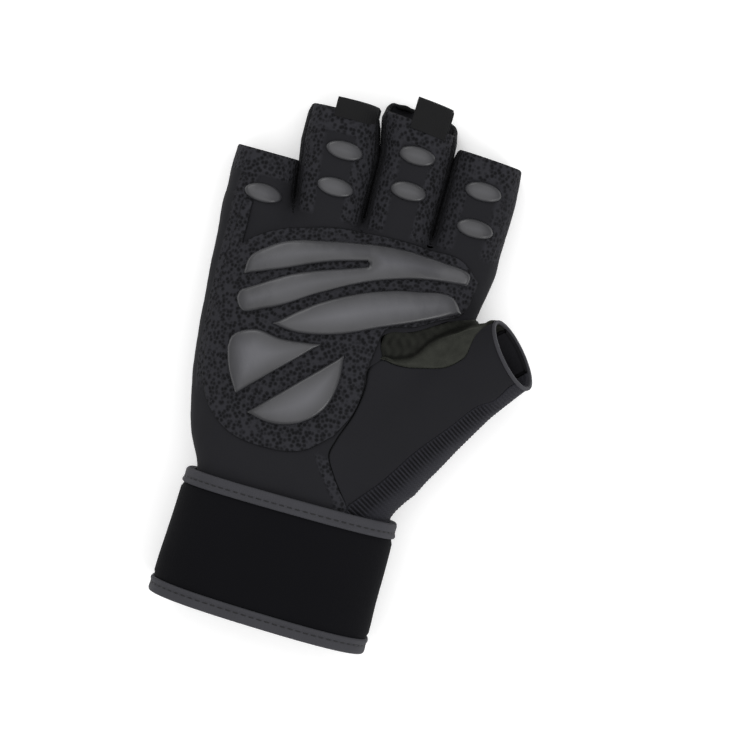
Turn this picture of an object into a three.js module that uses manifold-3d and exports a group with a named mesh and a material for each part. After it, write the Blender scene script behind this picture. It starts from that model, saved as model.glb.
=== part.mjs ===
// A right-hand fingerless weightlifting glove with a wrist wrap, filled out as if a hand were in it,
// lying on its back with the palm up. Millimetres, +Z up, +Y towards the fingers, +X the thumb side.
import * as THREE from "three";
import { mergeVertices } from "three/addons/utils/BufferGeometryUtils.js";
import Module from "manifold-3d";

const wasm = await Module();
wasm.setup();

// Driving sizes of the hand part
const palmWidth = 103; // across the knuckles
const palmLength = 102; // wrap's upper edge to the finger crotches
const palmDepth = 38; // back to palm at the heel of the hand
const fingerDepth = 26; // back to palm of a finger stall at its mouth
const pinkyLength = 17.2; // crotch to mouth
const ringLength = 39.6;
const middleLength = 42.4;
const indexLength = 36.2;
const middleBackReach = 5; // how far the middle stall's back runs past its palm side
const thumbReach = 0.6214 * palmWidth; // hand's middle line to the thumb mouth's centre, sideways
const thumbRise = 0.6941 * palmLength; // wrap's upper edge to the thumb mouth's centre
const thumbLift = 31; // floor to the thumb mouth's centre
const thumbMouth = 26.4; // across the thumb stall at its mouth
const clothWall = 1.6; // palm, back and thumb cloth
const seamGap = 0.3; // between two pieces that meet
const seamHeight = 14; // floor to the side seam
const sideStripLow = 6; // floor to a side strip's lower seam
const sideStripHigh = 18.5; // floor to its upper seam
const sideStripRoot = 3; // how far it runs down past the crotch

// Driving sizes of the wrist wrap
const wrapHeight = 48.3;
const wrapWidth = 80; // at its upper edge
const wrapFlare = 2.6; // how much wider it is at its lower edge
const wrapSkew = 2; // how much lower its lower edge lies on the thumb side
const wrapDepth = 41.5;
const wrapWall = 3;
const bindingWidth = 5.7;
const bindingWall = 1;
const bindingStand = 0.2; // how far a binding stands out over the wrap
const bindingRound = 0.6; // how far its folded edge is rounded off
const wristCover = 0.3; // how far the wrap runs up over the wrist
const wrapBodyOverlap = 12; // how far the hand part runs down inside the wrap
const flapWall = 1.4; // closing end of the wrap, under the wrist
const flapWidth = 34;
const flapLength = 42;

// Driving sizes of what is set on the cloth
const overlayWall = 0.8; // embossed sheet round the palm pads
const padRise = 1.8;
const gripRise = 1.6;
const gripWidth = 14;
const gripHeight = 7;
const tabWall = 1.1;
const ringTabWidth = 15.4;
const middleTabWidth = 13.6;
const ringTabReach = 4.4; // how far a tab stands past the stall's mouth
const middleTabReach = 8.9;
const tabGrip = 3; // how far a tab runs back over the cloth
const thumbBindingWidth = 1.5;
const thumbBindingStand = 0.3;
const stallRoot = 12; // how far a finger stall starts inside the palm
const stallSink = 3; // how deep its root lies under the palm's outside

// Fineness of the faceted surfaces
const palmSides = 32;
const fingerSides = 24;
const thumbSides = 24;
const restFlat = 1.03; // a section's lower end is cut level past one over this of its depth
const curveSteps = 3; // facets for each stretch between two outline points

const wristY = wrapHeight - wristCover;
const crotchY = wristY + palmLength;

// The hand part's cross sections above the wrap: places are shares of palmLength from the wrist, edges
// are shares of palmWidth from the middle line, base and top are shares of palmDepth.
const palmSections = [
  { along: 0.12, left: -0.408, right: 0.364, base: 0.05, top: 0.98 },
  { along: 0.24, left: -0.443, right: 0.37, base: 0.0, top: 0.99 },
  { along: 0.41, left: -0.475, right: 0.39, base: 0.0, top: 0.98 },
  { along: 0.6, left: -0.494, right: 0.43, base: 0.0, top: 0.94 },
  { along: 0.8, left: -0.511, right: 0.469, base: 0.0, top: 0.87 },
  { along: 0.92, left: -0.519, right: 0.484, base: 0.0, top: 0.81 },
  { along: 1.0, left: -0.524, right: 0.491, base: 0.0, top: 0.74 },
];

// The finger stalls: edges are shares of palmWidth at the crotch, at two thirds of the stall and at its
// mouth; skew is how far the mouth's thumb side falls back, as a share of the stall's length.
const fingers = [
  {
    name: "pinky",
    length: pinkyLength,
    left: [-0.524, -0.53, -0.528],
    right: [-0.277, -0.293, -0.296],
    grips: [{ across: -0.383, along: 0.115 }],
    skew: 0,
    back: 0,
  },
  {
    name: "ring",
    length: ringLength,
    left: [-0.267, -0.309, -0.311],
    right: [-0.023, -0.028, -0.058],
    grips: [{ across: -0.146, along: 0.63 }, { across: -0.143, along: 0.28 }],
    skew: 0.02,
    back: 0,
    tab: { across: -0.143, width: ringTabWidth, reach: ringTabReach },
  },
  {
    name: "middle",
    length: middleLength,
    left: [-0.013, -0.02, -0.05],
    right: [0.232, 0.232, 0.226],
    grips: [{ across: 0.107, along: 0.71 }, { across: 0.11, along: 0.395 }],
    skew: 0.03,
    back: middleBackReach,
    tab: { across: 0.121, width: middleTabWidth, reach: middleTabReach },
  },
  {
    name: "index",
    length: indexLength,
    left: [0.24, 0.24, 0.242],
    right: [0.491, 0.496, 0.485],
    grips: [{ across: 0.366, along: 0.66 }, { across: 0.372, along: 0.275 }],
    skew: 0.02,
    back: 0,
  },
];

// The thumb stall's path and sections: across is a share of thumbReach, along a share of thumbRise,
// lift a share of thumbLift, halfWidth and halfDepth shares of thumbMouth, heading in degrees from +X.
const thumbSections = [
  { across: 0.26, along: 0.0, lift: 0.62, halfWidth: 0.7, halfDepth: 0.5, heading: 60 },
  { across: 0.4, along: 0.3, lift: 0.63, halfWidth: 0.76, halfDepth: 0.68, heading: 57 },
  { across: 0.58, along: 0.56, lift: 0.67, halfWidth: 0.71, halfDepth: 0.68, heading: 53 },
  { across: 0.8, along: 0.835, lift: 0.82, halfWidth: 0.62, halfDepth: 0.56, heading: 47 },
  { across: 1.0, along: 1.0, lift: 1.0, halfWidth: 0.5, halfDepth: 0.5, heading: 41 },
];
const thumbPitch = 20; // degrees that the stall's mouth points up

// Seam lines in plan, as points of palmWidth and palmLength shares
const thumbSeam = [
  [0.214, -0.14], [0.194, 0.03], [0.165, 0.065], [0.118, 0.128], [0.089, 0.184], [0.099, 0.237],
  [0.134, 0.347], [0.147, 0.472], [0.142, 0.51], [0.18, 0.562],
];
const webLowerSeam = [
  [0.18, 0.562], [0.212, 0.556], [0.261, 0.556], [0.325, 0.57], [0.404, 0.596], [0.448, 0.638],
  [0.475, 0.69], [0.515, 0.775],
];
const webUpperSeam = [
  [0.459, 0.785], [0.406, 0.769], [0.326, 0.722], [0.263, 0.683], [0.168, 0.647], [0.165, 0.602],
];
const gussetSeam = [
  [0.204, -0.14], [0.204, 0.03], [0.289, 0.134], [0.384, 0.279], [0.479, 0.399], [0.555, 0.495],
  [0.593, 0.52], [0.632, 0.581],
];
const thumbBackSeam = [[0.291, -0.14], [0.252, 0.118], [0.272, 0.314], [0.33, 0.51], [0.427, 0.667]];

// Outlines of the overlay and the pads, in runs that meet at corners, each run a smooth curve
const overlayRuns = [
  [[-0.41, 0.985], [-0.445, 0.985]],
  [[-0.445, 0.985], [-0.452, 0.8], [-0.447, 0.52], [-0.42, 0.33]],
  [[-0.42, 0.33], [-0.37, 0.24], [-0.284, 0.172], [-0.149, 0.148], [-0.002, 0.173], [0.087, 0.249]],
  [[0.087, 0.249], [0.133, 0.345], [0.145, 0.435], [0.14, 0.489]],
  [[0.14, 0.489], [0.15, 0.59], [0.165, 0.66], [0.263, 0.7], [0.33, 0.74], [0.41, 0.788], [0.44, 0.915]],
  [[0.44, 0.915], [0.36, 0.975], [0.24, 0.985], [0.078, 0.985], [-0.078, 0.973], [-0.265, 0.925]],
  [[-0.265, 0.925], [-0.34, 0.885], [-0.392, 0.845], [-0.41, 0.825]],
];
const padOutlines = {
  pad_knuckle: [
    [[-0.373, 0.72], [-0.369, 0.783], [-0.304, 0.848], [-0.097, 0.92], [0.096, 0.954], [0.292, 0.953],
      [0.405, 0.923], [0.402, 0.89]],
    [[0.402, 0.89], [0.265, 0.874], [0.073, 0.814], [-0.092, 0.725], [-0.26, 0.622], [-0.345, 0.595],
      [-0.373, 0.64], [-0.367, 0.666]],
    [[-0.367, 0.666], [-0.192, 0.775], [-0.014, 0.842], [0.044, 0.864]],
    [[0.044, 0.864], [0.046, 0.874]],
    [[0.046, 0.874], [0.037, 0.88]],
    [[0.037, 0.88], [-0.077, 0.846], [-0.252, 0.769], [-0.373, 0.72]],
  ],
  pad_crescent: [
    [[-0.228, 0.577], [-0.095, 0.689], [0.065, 0.775], [0.235, 0.826], [0.371, 0.836], [0.408, 0.79]],
    [[0.408, 0.79], [0.292, 0.73], [0.145, 0.664], [-0.008, 0.595], [-0.166, 0.568], [-0.228, 0.577]],
  ],
  pad_heel_outer: [
    [[-0.357, 0.455], [-0.354, 0.493], [-0.279, 0.544], [-0.188, 0.537], [-0.036, 0.554]],
    [[-0.036, 0.554], [-0.284, 0.302]],
    [[-0.284, 0.302], [-0.334, 0.388], [-0.357, 0.455]],
  ],
  pad_heel_inner: [
    [[0.05, 0.542], [-0.231, 0.251]],
    [[-0.231, 0.251], [-0.142, 0.235], [-0.05, 0.257], [0.029, 0.328], [0.058, 0.432], [0.05, 0.542]],
  ],
};

// A closed mesh as a solid for cutting and joining
function solidOf(geometry) {
  const plain = geometry.clone();
  plain.deleteAttribute("normal");
  plain.deleteAttribute("uv");
  const merged = mergeVertices(plain, 1e-4);
  return new wasm.Manifold(
    new wasm.Mesh({
      numProp: 3,
      vertProperties: merged.attributes.position.array,
      triVerts: new Uint32Array(merged.index.array),
    }),
  );
}

// A solid as a geometry for a mesh
function geometryOf(solid) {
  const mesh = solid.getMesh();
  const geometry = new THREE.BufferGeometry();
  geometry.setAttribute("position", new THREE.BufferAttribute(mesh.vertProperties, 3));
  geometry.setIndex(new THREE.BufferAttribute(mesh.triVerts, 1));
  geometry.computeVertexNormals();
  return geometry;
}

// A block between two corners
function block(low, high) {
  const geometry = new THREE.BoxGeometry(high.x - low.x, high.y - low.y, high.z - low.z);
  geometry.translate((low.x + high.x) / 2, (low.y + high.y) / 2, (low.z + high.z) / 2);
  return solidOf(geometry);
}

const far = 2 * (palmWidth + palmLength + wrapHeight);
const farLow = new THREE.Vector3(-far, -far, -far);
const farHigh = new THREE.Vector3(far, far, far);

// Everything between two heights, or in front of or behind a place along the hand
function slab(lowZ, highZ, lowY = -far, highY = far, lowX = -far, highX = far) {
  return block(new THREE.Vector3(lowX, lowY, lowZ), new THREE.Vector3(highX, highY, highZ));
}

// A solid through closed rings of equal point count, flat at both ends
function loft(rings) {
  const count = rings[0].length;
  const last = (rings.length - 1) * count;
  const faces = [];
  for (let i = 0; i + 1 < rings.length; i++) {
    for (let j = 0; j < count; j++) {
      const k = (j + 1) % count;
      const here = i * count;
      const next = here + count;
      faces.push(here + j, next + j, next + k, here + j, next + k, here + k);
    }
  }
  for (let j = 1; j + 1 < count; j++) {
    faces.push(0, j, j + 1);
    faces.push(last, last + j + 1, last + j);
  }
  const geometry = new THREE.BufferGeometry().setFromPoints(rings.flat());
  geometry.setIndex(faces);
  return solidOf(geometry);
}

// A ring of points round a section whose back is flatter than its palm side, and level where it rests.
// x and z come from the cosine and sine of the turn, each raised to two over the half's power.
function sectionRing(section, sides, place) {
  const { left, right, base, top, grow } = section;
  const middle = (left + right) / 2;
  const half = (right - left) / 2 + grow;
  const equator = base + (top - base) * 0.45;
  const ring = [];
  for (let i = 0; i < sides; i++) {
    const turn = (2 * Math.PI * i) / sides;
    const upper = Math.sin(turn) >= 0;
    const power = upper ? 2.5 : 3.6;
    const across = Math.sign(Math.cos(turn)) * Math.abs(Math.cos(turn)) ** (2 / power);
    const up = Math.abs(Math.sin(turn)) ** (2 / power);
    const down = Math.min(1, up * restFlat);
    const z = upper ? equator + (top + grow - equator) * up : equator - (equator - base + grow) * down;
    ring.push(place(middle + half * across, z));
  }
  return ring;
}

// The wrap's cross section at a height y, set in from its outside by inset
function wrapSection(y, inset) {
  const flare = wrapFlare * (1 - y / wrapHeight);
  const half = (wrapWidth + flare) / 2;
  const shift = flare / 4;
  return { left: -half - shift, right: half - shift, base: flapWall, top: wrapDepth, grow: -inset };
}

// Whole hand part from the wrist to the crotches, grown outwards by grow and run on by extra. Its lower
// end fits the inside of the wrap.
function palmSolid(grow, extra) {
  const fitted = { ...wrapSection(wrapHeight, 0), grow: grow - wrapWall - seamGap };
  const wrist = [wristY - wrapBodyOverlap - extra, wrapHeight].map((y) => ({ y, section: fitted }));
  const above = palmSections.map((row, i) => ({
    y: wristY + row.along * palmLength + (i === palmSections.length - 1 ? grow : 0),
    section: {
      left: row.left * palmWidth,
      right: row.right * palmWidth,
      base: row.base * palmDepth,
      top: row.top * palmDepth,
      grow,
    },
  }));
  const ringAt = ({ y, section }) =>
    sectionRing(section, palmSides, (x, z) => new THREE.Vector3(x, y, z));
  return loft(wrist.concat(above).map(ringAt));
}

// One finger stall, grown outwards by grow and run on past its mouth by extra
function fingerSolid(finger, grow, extra) {
  const crotchTop = palmSections[palmSections.length - 1].top * palmDepth;
  const stations = [
    { y: crotchY - stallRoot, edge: 0, top: crotchTop, sunk: stallSink },
    { y: crotchY, edge: 0, top: crotchTop, sunk: 0 },
    { y: crotchY + finger.length * 0.66, edge: 1, top: fingerDepth, sunk: 0 },
    { y: crotchY + finger.length, edge: 2, top: fingerDepth, sunk: 0 },
  ];
  if (extra > 0) {
    stations.push({ y: crotchY + finger.length + extra, edge: 2, top: fingerDepth, sunk: 0 });
  }
  const rings = stations.map((station, i) => {
    const left = finger.left[station.edge] * palmWidth;
    const right = finger.right[station.edge] * palmWidth;
    const middle = (left + right) / 2;
    const section = { left, right, base: 0, top: station.top, grow: grow - station.sunk };
    const mouth = i >= 3;
    return sectionRing(section, fingerSides, (x, z) => {
      const skew = mouth ? (finger.skew * finger.length * (middle - x)) / (right - middle) : 0;
      const back = mouth ? finger.back * Math.max(0, 1 - z / (fingerDepth * 0.6)) : 0;
      return new THREE.Vector3(x, station.y + skew + back, z);
    });
  });
  return loft(rings);
}

// The thumb stall's frame at one of its sections
function thumbFrame(row) {
  const heading = THREE.MathUtils.degToRad(row.heading);
  const pitch = THREE.MathUtils.degToRad(thumbPitch) * row.along ** 2;
  const centre = new THREE.Vector3(
    row.across * thumbReach,
    wristY + row.along * thumbRise,
    row.lift * thumbLift,
  );
  const level = Math.cos(pitch);
  const ahead = new THREE.Vector3(
    Math.cos(heading) * level,
    Math.sin(heading) * level,
    Math.sin(pitch),
  );
  const side = new THREE.Vector3(Math.sin(heading), -Math.cos(heading), 0);
  return { centre, ahead, side, up: side.clone().cross(ahead) };
}

// The thumb stall, grown outwards by grow and run on past its mouth by extra
function thumbSolid(grow, extra) {
  const rows = thumbSections.map((row) => ({ row, frame: thumbFrame(row), on: 0 }));
  if (extra > 0) rows.push({ ...rows[rows.length - 1], on: extra });
  const rings = rows.map(({ row, frame, on }) => {
    const ring = [];
    for (let i = 0; i < thumbSides; i++) {
      const turn = (2 * Math.PI * i) / thumbSides;
      ring.push(
        frame.centre
          .clone()
          .addScaledVector(frame.ahead, on)
          .addScaledVector(frame.side, Math.cos(turn) * (row.halfWidth * thumbMouth + grow))
          .addScaledVector(frame.up, Math.sin(turn) * (row.halfDepth * thumbMouth + grow)),
      );
    }
    return ring;
  });
  return loft(rings);
}

// Everything that a hand fills: palm, stalls and thumb in one solid, the thumb's root kept out of the
// wrap
function handSolid(grow, extra) {
  const aboveWrap = slab(-far, far, wrapHeight + 2 * seamGap + clothWall - grow);
  let hand = palmSolid(grow, extra).add(thumbSolid(grow, extra).intersect(aboveWrap));
  for (const finger of fingers) hand = hand.add(fingerSolid(finger, grow, extra));
  return hand;
}

// A point in plan from shares of palmWidth and palmLength
function planPoint([across, along]) {
  return new THREE.Vector2(across * palmWidth, wristY + along * palmLength);
}

// A plan outline from runs of share points, each run a smooth curve, with the corners kept between runs
function outlineOf(runs) {
  return runs.flatMap((run) => {
    const points = run.map(planPoint);
    if (points.length === 2) return [points[0]];
    return new THREE.SplineCurve(points).getPoints((points.length - 1) * curveSteps).slice(0, -1);
  });
}

// A plan outline moved outwards by a distance
function grownOutline(points, distance) {
  const turn = THREE.ShapeUtils.area(points) > 0 ? 1 : -1;
  return points.map((point, i) => {
    const before = points[(i + points.length - 1) % points.length];
    const after = points[(i + 1) % points.length];
    const along = after.clone().sub(before).normalize();
    return new THREE.Vector2(point.x + turn * along.y * distance, point.y - turn * along.x * distance);
  });
}

// An upright block of a plan outline between two heights
function prism(points, low, high) {
  const geometry = new THREE.ExtrudeGeometry(new THREE.Shape(points), {
    depth: high - low,
    bevelEnabled: false,
  });
  geometry.translate(0, 0, low);
  return solidOf(geometry);
}

const handOuter = handSolid(0, 0);
const handShell = handOuter.subtract(handSolid(-clothWall, far / 10));

// A plan block past the thumb side of a seam line
function sideBlock(seam, extraPoints, grow) {
  const points = seam.concat(extraPoints).map(planPoint);
  return prism(grownOutline(points, grow), farLow.z, farHigh.z);
}
// Share points that close a zone well past the thumb's mouth and outer side
const beyondMouth = [[0.56, 0.9], [1.2, 0.9], [1.2, -0.14]];
const thumbZone = (grow) => sideBlock(thumbSeam.concat(webLowerSeam.slice(1)), beyondMouth, grow);
const webZone = (grow) => sideBlock(webLowerSeam.concat([[0.56, 0.9]]), webUpperSeam, grow);
const gussetZone = (grow) => sideBlock(gussetSeam, [[0.73, 0.68], [1.2, 0.68], [1.2, -0.14]], grow);
const thumbBackZone = (grow) => sideBlock(thumbBackSeam.concat([[0.5, 0.765]]), beyondMouth, grow);

// The thumb stall's upper half space, from a big block laid along its axis
function thumbUpperHalf(shift) {
  const from = thumbFrame(thumbSections[2]);
  const mouth = thumbFrame(thumbSections[thumbSections.length - 1]);
  const ahead = mouth.centre.clone().sub(from.centre).normalize();
  const side = mouth.side;
  const up = side.clone().cross(ahead).normalize();
  const half = new THREE.BoxGeometry(far, far, far);
  half.translate(0, 0, far / 2 + shift);
  const turned = new THREE.Matrix4().makeBasis(side, ahead, up).setPosition(mouth.centre);
  half.applyMatrix4(turned);
  return solidOf(half);
}

// Above or below the side seam: a level plane for the hand, a rising one for the thumb stall
function aboveSeam(shift) {
  const thumb = thumbZone(0).subtract(webZone(0));
  const level = slab(seamHeight + shift, farHigh.z);
  return level.subtract(thumb).add(thumbUpperHalf(shift).intersect(thumb));
}
const shellAbove = handShell.intersect(aboveSeam(seamGap / 2));
const shellBelow = handShell.subtract(aboveSeam(-seamGap / 2));

// The block that holds the side strip between two neighbouring stalls
function stripBlock(index, grow) {
  const here = fingers[index];
  const next = fingers[index + 1];
  const middleOf = (finger) => ((finger.left[1] + finger.right[1]) / 2) * palmWidth;
  const longest = Math.max(here.length, next.length) + middleBackReach;
  return slab(
    sideStripLow - grow,
    sideStripHigh + grow,
    crotchY - sideStripRoot - grow,
    crotchY + longest * 2,
    middleOf(here) + seamGap / 2 - grow,
    middleOf(next) - seamGap / 2 + grow,
  );
}
const stripBlocks = (grow) => [0, 1, 2].map((i) => stripBlock(i, grow)).reduce((a, b) => a.add(b));

// The largest connected piece of a solid, so that no crumb of a cut stays
function mainPiece(solid) {
  const pieces = solid.decompose();
  return pieces.reduce((best, piece) => (piece.volume() > best.volume() ? piece : best));
}

// A layer over the hand's outside between two heights above the cloth
function layerOver(low, high) {
  return handSolid(high, 0).subtract(handSolid(low, 1));
}

// A solid through the wrap's cross sections, set in from its outside row by row
function wrapSolid(rows) {
  const rings = rows.map(({ y, inset }) =>
    sectionRing(wrapSection(y, inset), palmSides, (x, z) => {
      const skew = (wrapSkew * x * Math.max(0, 1 - y / wrapHeight)) / wrapWidth;
      return new THREE.Vector3(x, y - skew, z);
    }),
  );
  return loft(rings);
}
const underBinding = bindingWall + seamGap - bindingStand;

function wristWrap() {
  const outer = wrapSolid([
    { y: seamGap + bindingWall, inset: underBinding },
    { y: bindingWidth, inset: underBinding },
    { y: bindingWidth + seamGap, inset: 0 },
    { y: wrapHeight - bindingWidth - seamGap, inset: 0 },
    { y: wrapHeight - bindingWidth, inset: underBinding },
    { y: wrapHeight - bindingWall - seamGap, inset: underBinding },
  ]);
  const inner = wrapSolid([
    { y: -far / 10, inset: wrapWall },
    { y: wrapHeight + far / 10, inset: wrapWall },
  ]);
  return outer.subtract(inner);
}

// A binding folded over the wrap's edge: an outer leg and a lip over the wrap's thickness
function wrapBinding(edgeY, inwards) {
  const lipEnd = edgeY + inwards * bindingWall;
  const legEnd = edgeY + inwards * bindingWidth;
  const beyond = edgeY - inwards * bindingWidth;
  const past = legEnd + inwards * bindingWidth;
  const rising = (rows) => wrapSolid(rows.sort((a, b) => a.y - b.y));
  const outer = rising([
    { y: edgeY, inset: bindingRound - bindingStand },
    { y: lipEnd, inset: -bindingStand },
    { y: legEnd, inset: -bindingStand },
  ]);
  const hollow = rising([
    { y: lipEnd, inset: bindingWall - bindingStand },
    { y: past, inset: bindingWall - bindingStand },
  ]);
  const throat = rising([
    { y: beyond, inset: wrapWall },
    { y: past, inset: wrapWall },
  ]);
  return outer.subtract(hollow).subtract(throat);
}

// The wrap's closing end, flat under the wrist
function wrapFlap() {
  const skin = wrapSolid([{ y: -1, inset: -flapWall }, { y: wrapHeight + 1, inset: -flapWall }]);
  const core = wrapSolid([{ y: -2, inset: -seamGap }, { y: wrapHeight + 2, inset: -seamGap }]);
  const low = (wrapHeight - flapWidth) / 2;
  const window = slab(-far / 10, seamHeight / 2, low, low + flapWidth, -flapLength / 2, flapLength / 2);
  return skin.subtract(core).intersect(window);
}

// A pull tab: a tape folded over the stall's palm side edge, with an open loop past it
function pullTab(finger) {
  const { across, width, reach } = finger.tab;
  const longer = reach + 2 * tabGrip;
  const mouthY = crotchY + finger.length;
  const left = across * palmWidth - width / 2;
  const band = slab(seamHeight, farHigh.z, mouthY - tabGrip, mouthY + reach, left, left + width);
  const core = slab(-far, far, -far, mouthY + reach - tabWall);
  const outside = fingerSolid(finger, seamGap + tabWall, longer);
  const inside = fingerSolid(finger, -clothWall - seamGap - tabWall, longer + 1);
  const slotOut = fingerSolid(finger, seamGap, longer + 1);
  const slotIn = fingerSolid(finger, -clothWall - seamGap, longer + 2);
  const slot = slotOut.subtract(slotIn).intersect(core);
  return outside.subtract(inside).intersect(band).subtract(slot);
}

// The light binding round the thumb stall's mouth
function thumbBinding() {
  const mouth = thumbFrame(thumbSections[thumbSections.length - 1]);
  const ring = (on, radius) => {
    const points = [];
    for (let i = 0; i < thumbSides; i++) {
      const turn = (2 * Math.PI * i) / thumbSides;
      points.push(
        mouth.centre
          .clone()
          .addScaledVector(mouth.ahead, on)
          .addScaledVector(mouth.side, Math.cos(turn) * radius)
          .addScaledVector(mouth.up, Math.sin(turn) * radius),
      );
    }
    return points;
  };
  const radius = thumbMouth / 2;
  const outer = loft([
    ring(seamGap, radius + thumbBindingStand),
    ring(seamGap + thumbBindingWidth * 0.7, radius + thumbBindingStand),
    ring(seamGap + thumbBindingWidth, radius - thumbBindingStand),
  ]);
  const hollow = radius - clothWall - thumbBindingStand;
  return outer.subtract(loft([ring(-1, hollow), ring(thumbBindingWidth + 2, hollow)]));
}

// An oval grip on a stall
function fingerGrip(finger, grip, layer) {
  const centre = new THREE.Vector2(grip.across * palmWidth, crotchY + grip.along * finger.length);
  const oval = new THREE.EllipseCurve(centre.x, centre.y, gripWidth / 2, gripHeight / 2);
  return layer.intersect(prism(oval.getPoints(16).slice(0, -1), seamHeight, farHigh.z));
}

const glove = new THREE.Group();
function addPiece(name, solid, color, roughness) {
  const material = new THREE.MeshStandardMaterial({ color, roughness, metalness: 0 });
  const mesh = new THREE.Mesh(geometryOf(solid), material);
  mesh.name = name;
  glove.add(mesh);
}

const microfibre = "#262628";
const embossed = "#222225";
const padRubber = "#56565b";
const ribKnit = "#303034";
const suede = "#33342f";
const neoprene = "#111215";
const bindingTape = "#3c3c40";
const tabTape = "#202021";

// A panel without the gusset's and the side strips' zones
const beside = (solid) => solid.subtract(gussetZone(seamGap)).subtract(stripBlocks(seamGap));
const palmPanel = beside(shellAbove.subtract(thumbZone(seamGap)).subtract(webZone(seamGap)));
addPiece("palm_panel", mainPiece(palmPanel), microfibre, 0.85);
const backPanel = beside(shellBelow.subtract(thumbBackZone(seamGap)));
addPiece("back_panel", mainPiece(backPanel), microfibre, 0.9);
["pinky_ring", "ring_middle", "middle_index"].forEach((name, i) => {
  addPiece("side_strip_" + name, mainPiece(handShell.intersect(stripBlock(i, 0))), embossed, 0.9);
});
const thumbPanel = shellAbove.intersect(thumbZone(0)).subtract(gussetZone(seamGap));
addPiece("thumb_panel", mainPiece(thumbPanel), microfibre, 0.85);
addPiece("thumb_gusset", mainPiece(handShell.intersect(gussetZone(0))), ribKnit, 0.95);
const thumbBack = shellBelow.intersect(thumbBackZone(0)).subtract(gussetZone(seamGap));
addPiece("thumb_back", mainPiece(thumbBack), microfibre, 0.9);
const webPatch = shellAbove.intersect(webZone(0)).subtract(thumbZone(seamGap));
addPiece("thumb_web_patch", mainPiece(webPatch), suede, 0.95);
addPiece("thumb_binding", thumbBinding(), bindingTape, 0.8);

const overlayTop = seamGap + overlayWall;
const overlayBlock = prism(outlineOf(overlayRuns), seamHeight, farHigh.z);
const overlay = layerOver(seamGap, overlayTop).intersect(overlayBlock);
addPiece("palm_overlay", mainPiece(overlay), embossed, 0.8);
const padLayer = layerOver(overlayTop + seamGap, overlayTop + seamGap + padRise);
for (const [name, runs] of Object.entries(padOutlines)) {
  addPiece(name, padLayer.intersect(prism(outlineOf(runs), seamHeight, farHigh.z)), padRubber, 0.45);
}

const gripLayer = layerOver(seamGap, seamGap + gripRise);
for (const finger of fingers) {
  finger.grips.forEach((grip, i) => {
    const ending = finger.grips.length === 1 ? "" : i === 0 ? "_tip" : "_base";
    const solid = fingerGrip(finger, grip, gripLayer);
    addPiece("grip_" + finger.name + ending, solid, padRubber, 0.45);
  });
}
for (const finger of fingers.filter((row) => row.tab)) {
  addPiece("pull_tab_" + finger.name, pullTab(finger), tabTape, 0.9);
}

addPiece("wrist_wrap", wristWrap(), neoprene, 0.9);
addPiece("wrap_binding_upper", wrapBinding(wrapHeight, -1), bindingTape, 0.85);
addPiece("wrap_binding_lower", wrapBinding(0, 1), bindingTape, 0.85);
addPiece("wrap_closing_flap", wrapFlap(), neoprene, 0.9);

// The origin goes to the middle of the underside
const bounds = new THREE.Box3().setFromObject(glove);
const middle = bounds.getCenter(new THREE.Vector3());
glove.position.set(-middle.x, -middle.y, -bounds.min.z);

export default glove;
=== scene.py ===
"""A right-hand fingerless weightlifting glove with a wrist wrap, lying on its back with the palm up.

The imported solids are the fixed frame. Each cloth, rubber and knit piece is a fine surface worked out with
numpy on the same named sections as the solids, and rides on the part's one body.
"""
from math import cos, pi, radians, sin

import bpy
import numpy as np
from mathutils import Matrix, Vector
from mathutils.geometry import delaunay_2d_cdt


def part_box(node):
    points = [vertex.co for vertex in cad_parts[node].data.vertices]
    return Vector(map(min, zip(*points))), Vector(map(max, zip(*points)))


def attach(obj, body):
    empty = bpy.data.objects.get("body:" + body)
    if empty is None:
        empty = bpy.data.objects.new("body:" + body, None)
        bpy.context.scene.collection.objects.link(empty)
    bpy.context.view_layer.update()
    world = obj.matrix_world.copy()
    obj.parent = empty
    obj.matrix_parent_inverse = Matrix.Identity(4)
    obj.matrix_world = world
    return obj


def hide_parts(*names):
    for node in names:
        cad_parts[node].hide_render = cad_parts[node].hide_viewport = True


bl_info = {
    "name": "Weightlifting glove",
    "version": (1, 0, 0),
    "blender": (4, 5, 0),
    "location": "3D View > Sidebar > Glove",
    "description": "Builds a fingerless weightlifting glove piece by piece around its packed solids",
    "category": "Add Mesh",
}

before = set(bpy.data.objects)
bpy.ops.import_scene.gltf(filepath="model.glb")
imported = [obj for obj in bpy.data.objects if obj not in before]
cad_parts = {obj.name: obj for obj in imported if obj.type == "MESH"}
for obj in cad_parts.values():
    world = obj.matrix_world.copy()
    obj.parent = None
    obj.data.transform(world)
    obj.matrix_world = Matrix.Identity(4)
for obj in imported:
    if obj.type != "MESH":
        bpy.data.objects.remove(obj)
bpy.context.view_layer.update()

# The hand frame: millimetres, X from the hand's middle line, Y from the wrap's lower edge, Z from the floor.
# The wrap's upper binding lies symmetric about the middle line, with its upper edge at the wrap's height.
MM = 0.001
WRAP_HEIGHT = 48.3
BINDING_BOX = np.array([list(corner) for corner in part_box("wrap_binding_upper")]) / MM
ORIGIN = np.array([BINDING_BOX[:, 0].mean(), BINDING_BOX[1, 1] - WRAP_HEIGHT, 0.0])
WRIST_Y = WRAP_HEIGHT - 0.3
PALM_WIDTH = 103.0
PALM_LENGTH = 102.0
PALM_DEPTH = 38.0
FINGER_DEPTH = 26.0
CROTCH_Y = WRIST_Y + PALM_LENGTH
SEAM_HEIGHT = 14.0
STRIP_LOW = 6.0
STRIP_HIGH = 18.5
# The stalls' mouths lean back by this much from base to top, and the cloth between stalls bulges by this much
MOUTH_LEAN = 2.2
STRIP_BULGE = 0.75
# The palm ends at the crotches on a fillet of this reach
PALM_END_ROUND = 16.0
# Reach of the fillets between palm and stalls, and between hand and thumb
STALL_ROUND = 6.0
THUMB_ROUND = 7.0
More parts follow.
